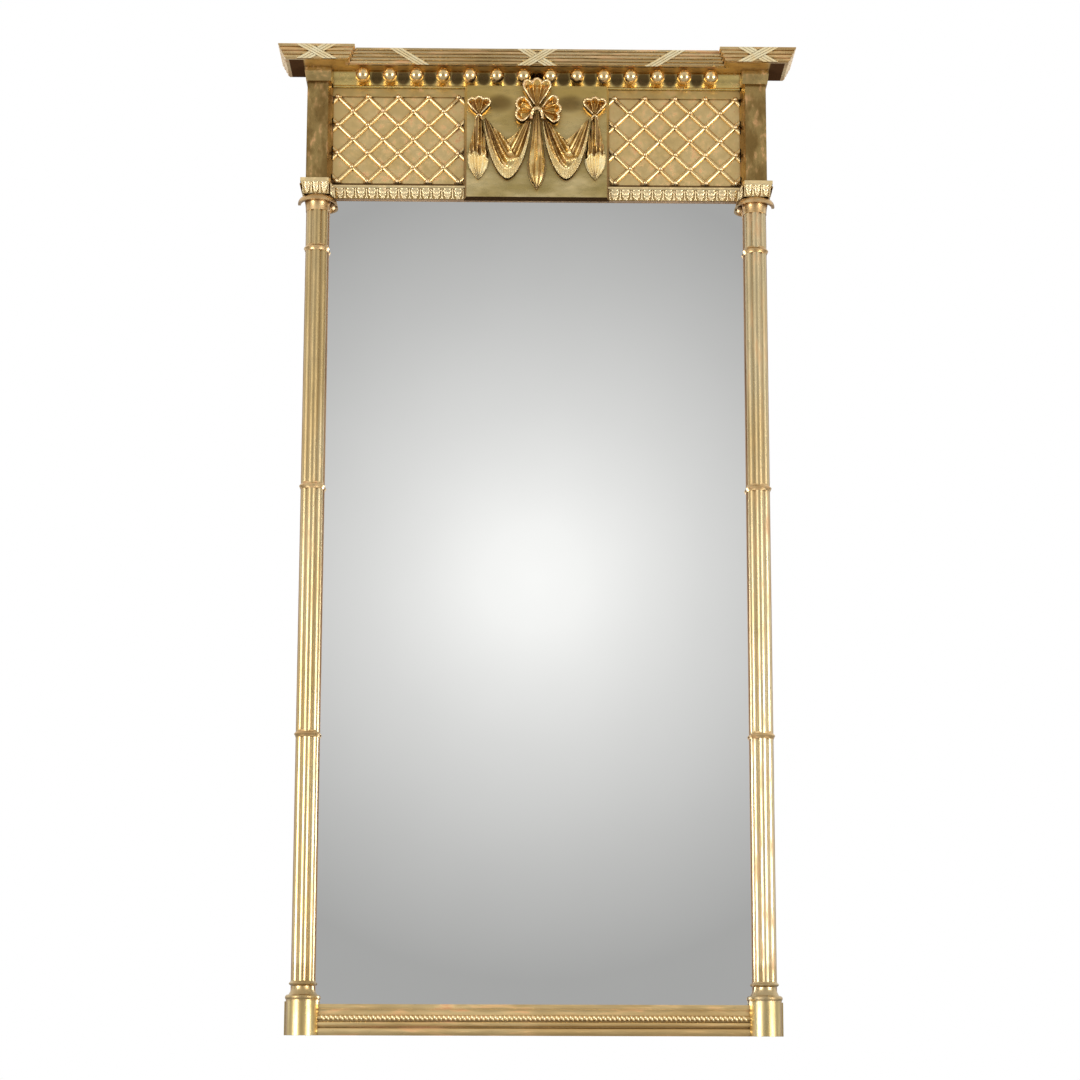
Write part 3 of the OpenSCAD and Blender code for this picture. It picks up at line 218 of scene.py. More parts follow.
def gilding(name, bright, deep, rubbed, roughness, patch, relief, quirk, dirt_and_shade=None, stretch=None,
            also=None, metallic=1.0, wear_size=0.009, underside=None):
    """Water gilding over red bole: patchy leaf, rubbed places, dirt and painted shade in the hollows,
    ochre-painted sides.

    rubbed and patch scale the settings of that name; quirk is the reach of the dirt and painted
    shade; also may change the tone at the end; the underside tone is painted shade on faces that
    look down and have no leaf."""
    settings = bpy.context.scene.pier_gilding
    grain_size, grain_depth, wear_depth = 0.0022, 0.00025, 0.0009
    dirt_and_shade_cover, paint_cover = 0.92, 0.9
    finish = Finish(name)
    broad = finish.noise(settings.patch * patch, 4.0, 0.6, stretch)
    fine = finish.noise(wear_size, 5.0, 0.62, stretch)
    grain = finish.noise(grain_size, 3.0, 0.6)
    leaf = finish.mix(finish.step(broad, 0.36, 0.62), bright, deep)
    worn = finish.times(finish.step(fine, 0.50, 0.68), finish.step(broad, 0.62, 0.42))
    worn = finish.times(worn, min(1.0, settings.rubbed * 3.0 * rubbed))
    # ambient occlusion darkens quirks and hollows: partly dirt, partly painted shade
    shade_in_hollows = finish.step(finish.shelter(quirk), 0.90, 0.15)
    dirt_and_shade_mask = finish.times(shade_in_hollows, finish.step(fine, 0.25, 0.60, 0.70, 1.0))
    tone = finish.mix(worn, leaf, settings.bole)
    tone = finish.mix(finish.times(dirt_and_shade_mask, dirt_and_shade_cover), tone, dirt_and_shade or settings.dirt_and_shade)
    side = finish.maths("SIGN", finish.along("X"))
    outward = finish.times(finish.part(finish.facing, "X"), side)
    painted = finish.step(outward, 0.78, 0.97)
    tone = finish.mix(finish.times(painted, paint_cover), tone, settings.ochre)
    leafless = finish.maths("MAXIMUM", worn, painted)
    metal = finish.maths("SUBTRACT", 1.0, finish.times(leafless, 0.7))
    rough = finish.maths("ADD", finish.step(fine, 0.3, 0.7, roughness - 0.05, roughness + 0.10),
                         finish.times(leafless, 0.22))
    if also:
        tone = also(finish, tone)
    # faces that look down get a near-black painted shade and lose their leaf
    if underside:
        under = finish.step(finish.part(finish.facing, "Z"), -0.7, -0.95)
        tone = finish.mix(under, tone, underside)
        metal = finish.times(metal, finish.step(under, 0.0, 1.0, 1.0, 0.0))
    if metallic < 1.0:
        metal = finish.times(metal, metallic)
    bumps = finish.bump(fine, wear_depth, relief, finish.bump(grain, grain_depth, relief))
    return finish.set(Base_Color=tone, Metallic=metal, Roughness=rough, Normal=bumps,
                      Coat_Weight=0.0 if underside else 0.12, Coat_Roughness=0.22,
                      Specular_IOR_Level=0.0 if underside else 0.5)


def timber(name, light, dark, roughness=0.6, along="Z"):
    """Plain softwood with its grain along an axis."""
    stretch = {"Z": (1.0, 1.0, 0.06), "X": (0.06, 1.0, 1.0)}[along]
    finish = Finish(name)
    rings = finish.noise(0.012, 5.0, 0.62, stretch)
    fibre = finish.noise(0.0016, 3.0, 0.6, stretch)
    stain = finish.noise(0.16)
    stained = tuple(channel * 0.35 for channel in dark)
    tone = finish.mix(finish.step(rings, 0.38, 0.62), light, dark)
    tone = finish.mix(finish.step(stain, 0.45, 0.75, 0.0, 0.45), tone, stained)
    return finish.set(Base_Color=tone, Roughness=roughness, Normal=finish.bump(fibre, 0.0006, 0.5))


def old_metal(name, tone, tarnish, metallic=1.0, roughness=0.38):
    """Brass, iron or steel with a little tarnish."""
    finish = Finish(name)
    cloud = finish.noise(0.006, 4.0, 0.65)
    spots = finish.noise(0.0012, 3.0, 0.6)
    mixed = finish.mix(finish.step(cloud, 0.40, 0.70), tone, tarnish)
    rough = finish.step(cloud, 0.3, 0.7, roughness - 0.1, roughness + 0.15)
    return finish.set(Base_Color=mixed, Metallic=metallic, Roughness=rough,
                      Normal=finish.bump(spots, 0.0001, 0.4))


# ---------- mesh helpers ----------

def out_of_the_plate(*pieces):
    """Keeps what hangs over the plate's top edge out of its reflection, which shows only a room."""
    for piece in pieces:
        piece.visible_glossy = False


def new_mesh(name, points, faces, *materials, slots=()):
    """A mesh with its materials, and each face's slot where there is more than one."""
    mesh = bpy.data.meshes.new(name)
    mesh.from_pydata(points, [], faces)
    for material in materials:
        mesh.materials.append(material)
    if slots:
        mesh.polygons.foreach_set("material_index", slots)
    return mesh


def joined(parts):
    """Parts as one list of points, faces and slots; each part is its points, faces and slot."""
    points, faces, slots = [], [], []
    for made, sides, slot in parts:
        faces += [tuple(i + len(points) for i in face) for face in sides]
        points += made
        slots += [slot] * len(sides)
    return points, faces, slots


def settled(host):
    """A plain mesh of what an object's modifiers give; the object and its modifiers are removed."""
    graph = bpy.context.evaluated_depsgraph_get()
    mesh = bpy.data.meshes.new_from_object(host.evaluated_get(graph), depsgraph=graph)
    host.modifiers.clear()
    bpy.data.objects.remove(host)
    return mesh


def linked(name, data):
    """A new object in the scene."""
    made = bpy.data.objects.new(name, data)
    bpy.context.scene.collection.objects.link(made)
    return made


def place_mesh(name, mesh, *replaced):
    """Shows a finished mesh on the fixed body, in place of CAD nodes where it stands for them."""
    mesh.name = name
    mesh.shade_smooth()
    made = linked(name, mesh)
    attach(made, "frame")
    if replaced:
        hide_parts(*replaced)
    return made


def row(name, unit, count, start, step, material, turn=(0.0, 0.0, 0.0), loose=0.0):
    """Repeats a unit mesh along a line with Geometry Nodes and keeps the result as a plain mesh.

    loose is how far a copy's size may depart from 1, either way."""
    n = Nodes(bpy.data.node_groups.new(name, "GeometryNodeTree"))
    sockets = {}
    for label, kind, value in (("Unit", "Object", unit), ("Count", "Int", count),
                               ("Start", "Vector", start), ("Step", "Vector", step),
                               ("Turn", "Vector", turn), ("Looseness", "Float", loose),
                               ("Material", "Material", material)):
        socket = n.tree.interface.new_socket(label, in_out="INPUT",
                                             socket_type="NodeSocket" + kind)
        sockets[socket.identifier] = value
    n.tree.interface.new_socket("Geometry", in_out="OUTPUT", socket_type="NodeSocketGeometry")
    given = n.node("NodeGroupInput").outputs
    line = n.node("GeometryNodeMeshLine", {"Count": given["Count"], "Offset": given["Step"],
                                           "Start Location": given["Start"]}, mode="OFFSET")
    shape = n.node("GeometryNodeObjectInfo", {"Object": given["Unit"]})
    turned = n.node("FunctionNodeEulerToRotation", {0: given["Turn"]})
    size = n.node("FunctionNodeRandomValue", {"Seed": 7}, data_type="FLOAT")
    ends = [s for s in size.inputs if s.enabled and s.name in ("Min", "Max")]
    for end, operation in zip(ends, ("SUBTRACT", "ADD")):
        n.put(end, n.maths(operation, 1.0, given["Looseness"]))
    copies = n.node("GeometryNodeInstanceOnPoints",
                    {"Points": line.outputs[0], "Instance": shape.outputs["Geometry"],
                     "Rotation": turned.outputs[0],
                     "Scale": [s for s in size.outputs if s.enabled][0]})
    real = n.node("GeometryNodeRealizeInstances", {0: copies.outputs[0]})
    leaf = n.node("GeometryNodeSetMaterial", {"Geometry": real.outputs[0],
                                              "Material": given["Material"]})
    n.node("NodeGroupOutput", {0: leaf.outputs[0]})
    host = linked(name, bpy.data.meshes.new(name))
    modifier = host.modifiers.new("Row", "NODES")
    modifier.node_group = n.tree
    for identifier, value in sockets.items():
        modifier[identifier] = value
    return settled(host)


def merged(*pairs):
    """Pairs of mesh and material as one mesh."""
    work = bmesh.new()
    for slot, (mesh, _) in enumerate(pairs):
        before = len(work.faces)
        work.from_mesh(mesh)
        work.faces.ensure_lookup_table()
        for face in work.faces[before:]:
            face.material_index = slot
    bmesh.ops.remove_doubles(work, verts=work.verts, dist=2e-6)
    whole = bpy.data.meshes.new("Whole")
    work.to_mesh(whole)
    work.free()
    for _, material in pairs:
        whole.materials.append(material)
    return whole


def grid(columns, rows, point, flip=False):
    """Points and faces of a sheet; point gives the place of each column and row share."""
    points = [point(c / columns, r / rows) for r in range(rows + 1) for c in range(columns + 1)]
    wide = columns + 1
    faces = [(a, a + 1, a + 1 + wide, a + wide)
             for r in range(rows) for a in range(r * wide, r * wide + columns)]
    return points, [face[::-1] for face in faces] if flip else faces


def relief(columns, rows, point, foot, flip=False):
    """A sheet whose edges drop square to a foot; foot gives the depth under a place."""
    points, faces = grid(columns, rows, point, True)
    wide = columns + 1
    rim = ([c for c in range(wide)] + [r * wide + columns for r in range(1, rows + 1)]
           + [rows * wide + c for c in range(columns - 1, -1, -1)]
           + [r * wide for r in range(rows - 1, 0, -1)])
    base, n = len(points), len(rim)
    points += [(points[i][0], foot(points[i]), points[i][2]) for i in rim]
    faces += [(rim[i], base + i, base + (i + 1) % n, rim[(i + 1) % n]) for i in range(n)]
    return points, [face[::-1] for face in faces] if flip else faces


def tube(path, radii, around=10):
    """A closed tube along points, with a radius at each."""
    points, faces = [], []
    for i, (place, radius) in enumerate(zip(path, radii)):
        along = (path[min(i + 1, len(path) - 1)] - path[max(i - 1, 0)]).normalized()
        sideways = along.cross(Vector((0.0, -1.0, 0.0))).normalized()
        ahead = sideways.cross(along)
        for k in range(around):
            turn = 2.0 * math.pi * k / around
            off = math.cos(turn) * sideways + math.sin(turn) * ahead
            points.append(tuple(place + radius * off))
    for i in range(len(path) - 1):
        for k in range(around):
            a, b = i * around + k, i * around + (k + 1) % around
            faces.append((a, a + around, b + around, b))
    last = (len(path) - 1) * around
    faces += [tuple(range(around)), tuple(range(last + around - 1, last - 1, -1))]
    return points, faces


def unit_object(name, points, faces):
    """An unlinked mesh object for a row to repeat."""
    mesh = new_mesh(name, points, faces)
    mesh.validate()
    return bpy.data.objects.new(name, mesh)


def ease(t):
    t = min(1.0, max(0.0, t))
    return t * t * (3.0 - 2.0 * t)


def wave(t):
    """0 to 1 and back, with 1 at whole numbers."""
    return 0.5 + 0.5 * math.cos(2.0 * math.pi * t)


def between(a, b, t):
    return a + (b - a) * t


def swelling(stops, v):
    """A width at a share v of the length, between eleven evenly spaced stops."""
    i = min(9, int(v * 10.0))
    return between(stops[i], stops[i + 1], v * 10.0 - i)


def scallop(lobes, a):
    """1 at the tips of a rim's lobes and 0 in their notches; a runs across from -1 to 1."""
    turn = math.pi / 2 * lobes * a
    return abs(math.cos(turn) if lobes % 2 else math.sin(turn))


# ---------- operators ----------

class PIER_OT_gilding(bpy.types.Operator):
    """Gild every turned and moulded piece"""

    bl_idname = "pier.gilding"
    bl_label = "Gilding"

    # how the leaf's patches and wear are drawn out on uprights and on what runs across
    upright, across = (1.0, 1.0, 0.16), (0.16, 1.0, 1.0)
    ball_pitch, last_ball = 44.4 * MM, 6.4
    # where the sunk band over the leaves ends, and the middles of the spots of painted shade beside
    # the bow
    band_end = 339.5 * MM
    painted_shade_spots = ((-62.0 * MM, 1519.0 * MM), (55.0 * MM, 1519.0 * MM))

    def execute(self, context):
        rows = self.finishes(context.scene.pier_gilding)
        for name, bright, deep, numbers, options, pieces in rows:
            dress(gilding(name, bright, deep, *numbers, **options), *pieces)
        return {"FINISHED"}

    def finishes(self, s):
        """Name; fresh and toned leaf; rubbing, roughness, patches, relief and reach of the dirt and
        painted shade; other options; and the pieces that have the finish."""
        across = {"stretch": self.across}
        cornice_ends = both("end_front_moulding", "end_outer_return", "end_inner_return")
        return (
            ("Ground gilding", (0.80, 0.585, 0.265), (0.71, 0.505, 0.21),
             (0.9, 0.34, 0.7, 0.05, 0.005), {}, both("trellis_ground")),
            ("Fillet gilding", (0.66, 0.48, 0.19), (0.56, 0.39, 0.145),
             (0.8, 0.34, 1.2, 0.06, 0.005), {}, both("frieze_fillet")),
            ("Cove gilding", (0.86, 0.65, 0.25), (0.74, 0.55, 0.19), (0.5, 0.19, 2.0, 0.02, 0.006),
             {"dirt_and_shade": (0.09, 0.04, 0.012), "also": self.cove_painted_shade}, ["cove_moulding"]),
            ("Reeded gilding", (0.88, 0.67, 0.36), (0.64, 0.45, 0.20),
             (1.2, 0.25, 1.0, 0.08, 0.0045), across, ["centre_cornice_moulding"]),
            ("Rubbed gilding", (0.89, 0.645, 0.31), (0.68, 0.435, 0.175),
             (1.4, 0.25, 1.0, 0.08, 0.0045), across, cornice_ends),
            ("Foot gilding", (0.84, 0.62, 0.30), (0.66, 0.45, 0.19), (1.3, 0.32, 1.0, 0.06, 0.005),
             across, ["bottom_moulding", "rope_strip"]),
            ("Shaft gilding", (0.76, 0.635, 0.385), (0.61, 0.445, 0.205),
             (0.7, 0.29, 1.6, 0.03, 0.022),
             {"dirt_and_shade": (0.29, 0.135, 0.04), "stretch": self.upright, "also": self.shaft_painted_shade},
             both("column", "column_base")),
            ("Plinth gilding", (0.72, 0.59, 0.31), (0.50, 0.37, 0.155),
             (0.5, 0.31, 0.8, 0.04, 0.006), {"stretch": self.upright}, both("plinth")),
            ("Collar gilding", (0.78, 0.56, 0.28), (0.58, 0.37, 0.16),
             (1.3, 0.30, 0.8, 0.05, 0.008), {}, [*both("collar"), "column_rings"]),
            ("Ball gilding", (0.84, 0.63, 0.32), (0.74, 0.50, 0.215), (0.7, 0.16, 0.4, 0.0, 0.002),
             {}, ["cornice_balls"]),
            ("Bead gilding", (0.90, 0.71, 0.42), (0.80, 0.58, 0.31), (0.5, 0.27, 0.5, 0.0, 0.003),
             {"wear_size": 0.03}, ["trellis_beads"]),
            ("Matt gilding", (0.84, 0.67, 0.34), s.olive, (0.1, 0.27, 1.5, 0.02, 0.020),
             {"dirt_and_shade": (0.15, 0.085, 0.025), "stretch": (0.4, 1.0, 1.0), "also": self.tablet_tone_and_shade,
              "underside": (0.045, 0.024, 0.010)}, ["tablet"]),
            ("Brown gilding", (0.45, 0.305, 0.11), (0.265, 0.16, 0.048),
             (0.8, 0.30, 0.6, 0.06, 0.006), {"stretch": (1.0, 1.0, 0.45)}, both("pilaster")),
            ("Impost gilding", (0.50, 0.36, 0.145), (0.40, 0.275, 0.105),
             (0.8, 0.31, 1.0, 0.05, 0.005), {}, both("impost_block")),
            # the pale leaf on the carving and the darker ground between are partly painted highlight
            # and painted shade
            ("Carved gilding", s.pale, (0.84, 0.67, 0.375), (0.4, 0.26, 0.5, 0.02, 0.002),
             {"metallic": 0.8}, []),
            ("Carved ground", (0.62, 0.44, 0.19), (0.48, 0.32, 0.12), (0.5, 0.40, 0.5, 0.03, 0.003),
             {"also": self.fillet_gold_and_band_shade, "underside": (0.05, 0.027, 0.011)},
             both("capital_block", "leaf_moulding")),
            ("Ribbon gilding", (0.99, 0.86, 0.54), (0.92, 0.72, 0.38),
             (0.5, 0.24, 0.4, 0.03, 0.003), {"metallic": 0.55}, ["ribbon_ties"]),
        )

    @staticmethod
    def shaft_painted_shade(finish, tone):
        """Painted shade darkens the shafts towards their heads; their turned bases are darker too."""
        height = finish.along("Z")
        tone = finish.mix(finish.step(height, 0.115, 0.105, 0.0, 0.52), tone, (0.40, 0.26, 0.10))
        # painted shade, stronger towards the heads of the shafts
        return finish.mix(finish.step(height, 0.25, 1.30, 0.07, 0.35), tone, (0.36, 0.235, 0.09))

    def fillet_gold_and_band_shade(self, finish, tone):
        """Gold on the fillets that frame the carving, and dark brown painted shade in the sunk band
        over it.
        """
        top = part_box("left_leaf_moulding")[0].z + 20.0 * MM
        away = finish.maths("ABSOLUTE", finish.along("X"))
        height = finish.along("Z")
        fillet = finish.step(height, top - 3.6 * MM, top - 3.1 * MM)
        tone = finish.mix(fillet, tone, (0.86, 0.66, 0.34))
        # painted shade: the sunk band is dark brown
        band = finish.times(finish.step(height, top + 0.1 * MM, top + 0.5 * MM),
                            finish.step(away, self.band_end + 0.3 * MM, self.band_end - 0.3 * MM))
        return finish.mix(band, tone, (0.17, 0.095, 0.035))

    def tablet_tone_and_shade(self, finish, tone):
        """Warmer and browner towards the top, with two spots of painted shade beside the bow."""
        low, high = (corner.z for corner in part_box("tablet"))
        x, z = (finish.along(axis) for axis in "XZ")
        tone = finish.mix(finish.step(z, low + 0.05, high, 0.0, 0.75), tone, (0.56, 0.38, 0.11))
        for across, up in self.painted_shade_spots:
            # a dark spot of painted shade beside the bow
            away = finish.maths("ADD", finish.squared(x, across, 0.024),
                                finish.squared(z, up, 0.015))
            tone = finish.mix(finish.step(away, 1.6, 0.0, 0.0, 0.72), tone, (0.14, 0.075, 0.02))
        return tone

    def cove_painted_shade(self, finish, tone):
        """Painted shade in the hollow between the balls, and darker painted shade along its top."""
        low, high = (corner.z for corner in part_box("cove_moulding"))
        reach = self.last_ball * self.ball_pitch
        x, z = (finish.along(axis) for axis in "XZ")
        gap = finish.maths("PINGPONG", finish.maths("DIVIDE", x, self.ball_pitch), 0.5)
        away = finish.maths("ADD", finish.squared(gap, 0.0, 0.27),
                            finish.squared(z, between(low, high, 0.62), 0.0145))
        inside = finish.step(finish.maths("ABSOLUTE", x), reach + 0.012, reach)
        # painted shade between the balls
        dark = finish.times(finish.step(away, 1.25, 0.35), inside)
        # painted shade along the top of the hollow
        top = finish.step(z, between(low, high, 0.80), between(low, high, 0.90), 0.0, 0.55)
        tone = finish.mix(finish.times(dark, 0.9), tone, (0.075, 0.035, 0.008))
        return finish.mix(top, tone, (0.36, 0.21, 0.055))


class PIER_OT_lattice(bpy.types.Operator):
    """Round the bars of the trellis"""

    bl_idname = "pier.lattice"
    bl_label = "Lattice"

    steps = 10
    bar_w, bar_t = 7.4 * MM, 4.2 * MM
    flatness = 0.8
    diamond_w, diamond_h = 50.2 * MM, 48.8 * MM
    first_row = 3 * MM

    def execute(self, context):
        finish = gilding("Bar gilding", (0.79, 0.59, 0.29), (0.69, 0.48, 0.21),
                         0.0, 0.27, 0.5, 0.0, 0.004, wear_size=0.03)
        for side in SIDES:
            low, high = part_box(f"{side}_trellis_ground")
            box = (low.x, high.x, low.z, high.z)
            points, faces = [], []
            middle = ((low.x + high.x) / 2, low.z + self.first_row + 1.5 * self.diamond_h)
            count = math.ceil((high.x - low.x + high.z - low.z) / self.diamond_w)
            for way in (-1, 1):
                for i in range(-count, count + 1):
                    self.bar(box, low.y, middle, i, way, points, faces)
            mesh = new_mesh("Lattice", points, faces, finish)
            mesh.validate()
            place_mesh(f"{side.title()}_lattice_bars", mesh, f"{side}_trellis_lattice")
        return {"FINISHED"}

    def bar(self, box, face, middle, i, way, points, faces):
        """A half-round bar along one diagonal, cut off at the panel's edges."""
        slant = math.atan2(self.diamond_h, self.diamond_w)
        along = (math.cos(slant), way * math.sin(slant))
        across = (-along[1], along[0])
        start = (middle[0] + (i + 0.5) * self.diamond_w, middle[1])
        spans = []
        for k in range(self.steps + 1):
            turn = math.pi * k / self.steps
            off = self.bar_w / 2 * math.cos(turn)
            lift = self.bar_t * math.sin(turn) ** self.flatness if k % self.steps else 0.0
            x, z = start[0] + across[0] * off, start[1] + across[1] * off
            cuts = [sorted(((box[0] - x) / along[0], (box[1] - x) / along[0])),
                    sorted(((box[2] - z) / along[1], (box[3] - z) / along[1]))]
            first, last = max(c[0] for c in cuts), min(c[1] for c in cuts)
            if last > first:
                spans.append([(x + along[0] * t, face - lift, z + along[1] * t)
                              for t in (first, last)])
        for a, b in zip(spans, spans[1:]):
            n = len(points)
            points += [a[0], a[1], b[1], b[0]]
            faces.append((n, n + 1, n + 2, n + 3) if along[0] > 0 else (n + 3, n + 2, n + 1, n))


class PIER_OT_carving(bpy.types.Operator):
    """Carve leaves and darts on the leaf mouldings and capitals, and twist the rope"""

    bl_idname = "pier.carving"
    bl_label = "Carving"

    # height and overhang of the leaves, and the depth at which they start, as in the solids
    band_tall, band_lean, band_front = 16.3 * MM, 8.0 * MM, -22.0 * MM
    cap_tall, cap_lean, cap_front = 19.8 * MM, 5.0 * MM, -47.0 * MM
    cap_inner, cap_outer, cap_leaves = 342.0 * MM, 382.4 * MM, 3
    side_leaf, inner_leaf = 13.5 * MM, 17.3 * MM

    def execute(self, context):
        s = context.scene.pier_carving
        for side, sign in zip(SIDES, (-1, 1)):
            self.leaf_moulding(s, side, sign)
            self.capital(s, side, sign)
        self.rope(s)
        return {"FINISHED"}

    def leaf(self, s, wide, tall, lean):
        """A leaf hanging point down between two halves of a dart, on a face that leans out by lean.

        Gives two units, what is carved and the ground between."""
        def height(x, q):
            """Share of the relief: x runs across, q up from the leaf's point to the fillet."""
            a = abs(x) / (wide / 2)
            edge = 0.80 * math.sin(math.pi * min(0.78, 0.05 + 0.62 * q)) ** 0.8
            edge *= 1.0 - 0.17 * abs(math.sin(math.pi * 2.6 * q)) ** 3
            if q > 0.93:
                return 0.75
            if a < edge:
                t = a / edge
                body = 1.0 - 0.45 * t ** 2.5
                groove = 0.55 * math.exp(-(a / 0.07) ** 2) * ease((0.86 - q) / 0.1)
                vein = 0.35 * wave(2.6 * q - 0.6 * t + 0.5) ** 2 * ease(t / 0.3)
                return max(0.35, body - groove - vein)
            gap = (1.0 - a) * wide / 2 / MM
            dart = gap < 1.0 and 0.12 < q < 0.90 or gap < 2.6 - 9.0 * q and q < 0.30
            return 0.85 if dart else 0.0

        def point(u, v):
            x = wide * (u - 0.5)
            return (x, -lean * v - s.leaf_relief * height(x, v), tall * v)

        columns, rows, ground_level = 32, 32, 0.2
        points, faces = grid(columns, rows, point)
        sunk = [height(wide * (((i % columns) + 0.5) / columns - 0.5),
                       (i // columns + 0.5) / rows) < ground_level for i in range(len(faces))]
        return [unit_object("Leaf", points, [face for face, low in zip(faces, sunk)
                                             if low == ground]) for ground in (False, True)]

    def leaves(self, name, units, *layout):
        """A row of leaves and its ground, each with its material."""
        finishes = [bpy.data.materials[key] for key in ("Carved gilding", "Carved ground")]
        return [(row(name, unit, *layout[:3], finish, *layout[3:]), finish)
                for unit, finish in zip(units, finishes)]

    def leaf_moulding(self, s, side, sign):
        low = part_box(f"{side}_leaf_moulding")[0].z
        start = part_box("tablet")[1].x
        end = abs(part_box(f"{side}_capital_block")[0 if sign > 0 else 1].x)
        count = round((end - start) / s.leaf_pitch)
        pitch = (end - start) / count
        units = self.leaf(s, pitch, self.band_tall, self.band_lean)
        pairs = self.leaves("Leaves", units, count,
                            (sign * (start + pitch / 2), self.band_front, low),
                            (sign * pitch, 0.0, 0.0))
        made = place_mesh(f"{side.title()}_leaf_carving", merged(*pairs))
        out_of_the_plate(made, NODES[f"{side}_leaf_moulding"], NODES["tablet"])

    def capital(self, s, side, sign):
        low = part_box(f"{side}_capital_block")[0].z
        inner, outer, tall, lean = self.cap_inner, self.cap_outer, self.cap_tall, self.cap_lean
        pitch = (outer + 2.0 * MM - inner) / self.cap_leaves
        pairs = self.leaves("Capital leaves", self.leaf(s, pitch, tall, lean), self.cap_leaves,
                            (sign * (inner + pitch / 2), self.cap_front, low),
                            (sign * pitch, 0.0, 0.0))
        deep = self.side_leaf
        pairs += self.leaves("Capital side leaves", self.leaf(s, deep, tall, lean), 2,
                             (sign * outer, self.cap_front + deep / 2, low), (0.0, deep, 0.0),
                             (0.0, 0.0, sign * math.pi / 2))
        inward = (0.0, 0.0, -sign * math.atan2(25.0, 8.0))
        pairs += self.leaves("Capital inner leaves", self.leaf(s, self.inner_leaf, tall, 0.0), 1,
                             (sign * (inner - 2.9 * MM), -37.5 * MM, low), (0.0, 0.0, 0.0), inward)
        place_mesh(f"{side.title()}_capital_carving", merged(*pairs))

    def rope(self, s):
        """Slanting strands along the rope strip, between the plinths."""
        low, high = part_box("rope_strip")
        radius = (high.z - low.z) / 2
        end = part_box("right_plinth")[0].x
        count = int(2 * end / s.twist_pitch)
        rings, around, slant = 6, 10, 0.55

        def point(u, v):
            tilt, run = 2.0 * math.pi * u, math.pi * (0.04 + 0.92 * v)
            swell = math.sin(run)
            along = radius * 1.2 * math.cos(run)
            thick = s.twist_pitch * 0.40 * swell
            x, y = thick * math.cos(tilt), radius * 0.75 * swell * math.sin(tilt) - radius * 0.55
            return (x - along * slant, y, along * 0.95)

        unit = unit_object("Strand", *grid(around, rings, point, True))
        start = (-(count - 1) / 2 * s.twist_pitch, low.y + radius, (low.z + high.z) / 2)
        mesh = row("Rope", unit, count, start, (s.twist_pitch, 0.0, 0.0),
                   bpy.data.materials["Carved gilding"], loose=0.03)
        place_mesh("Rope_twist", mesh)


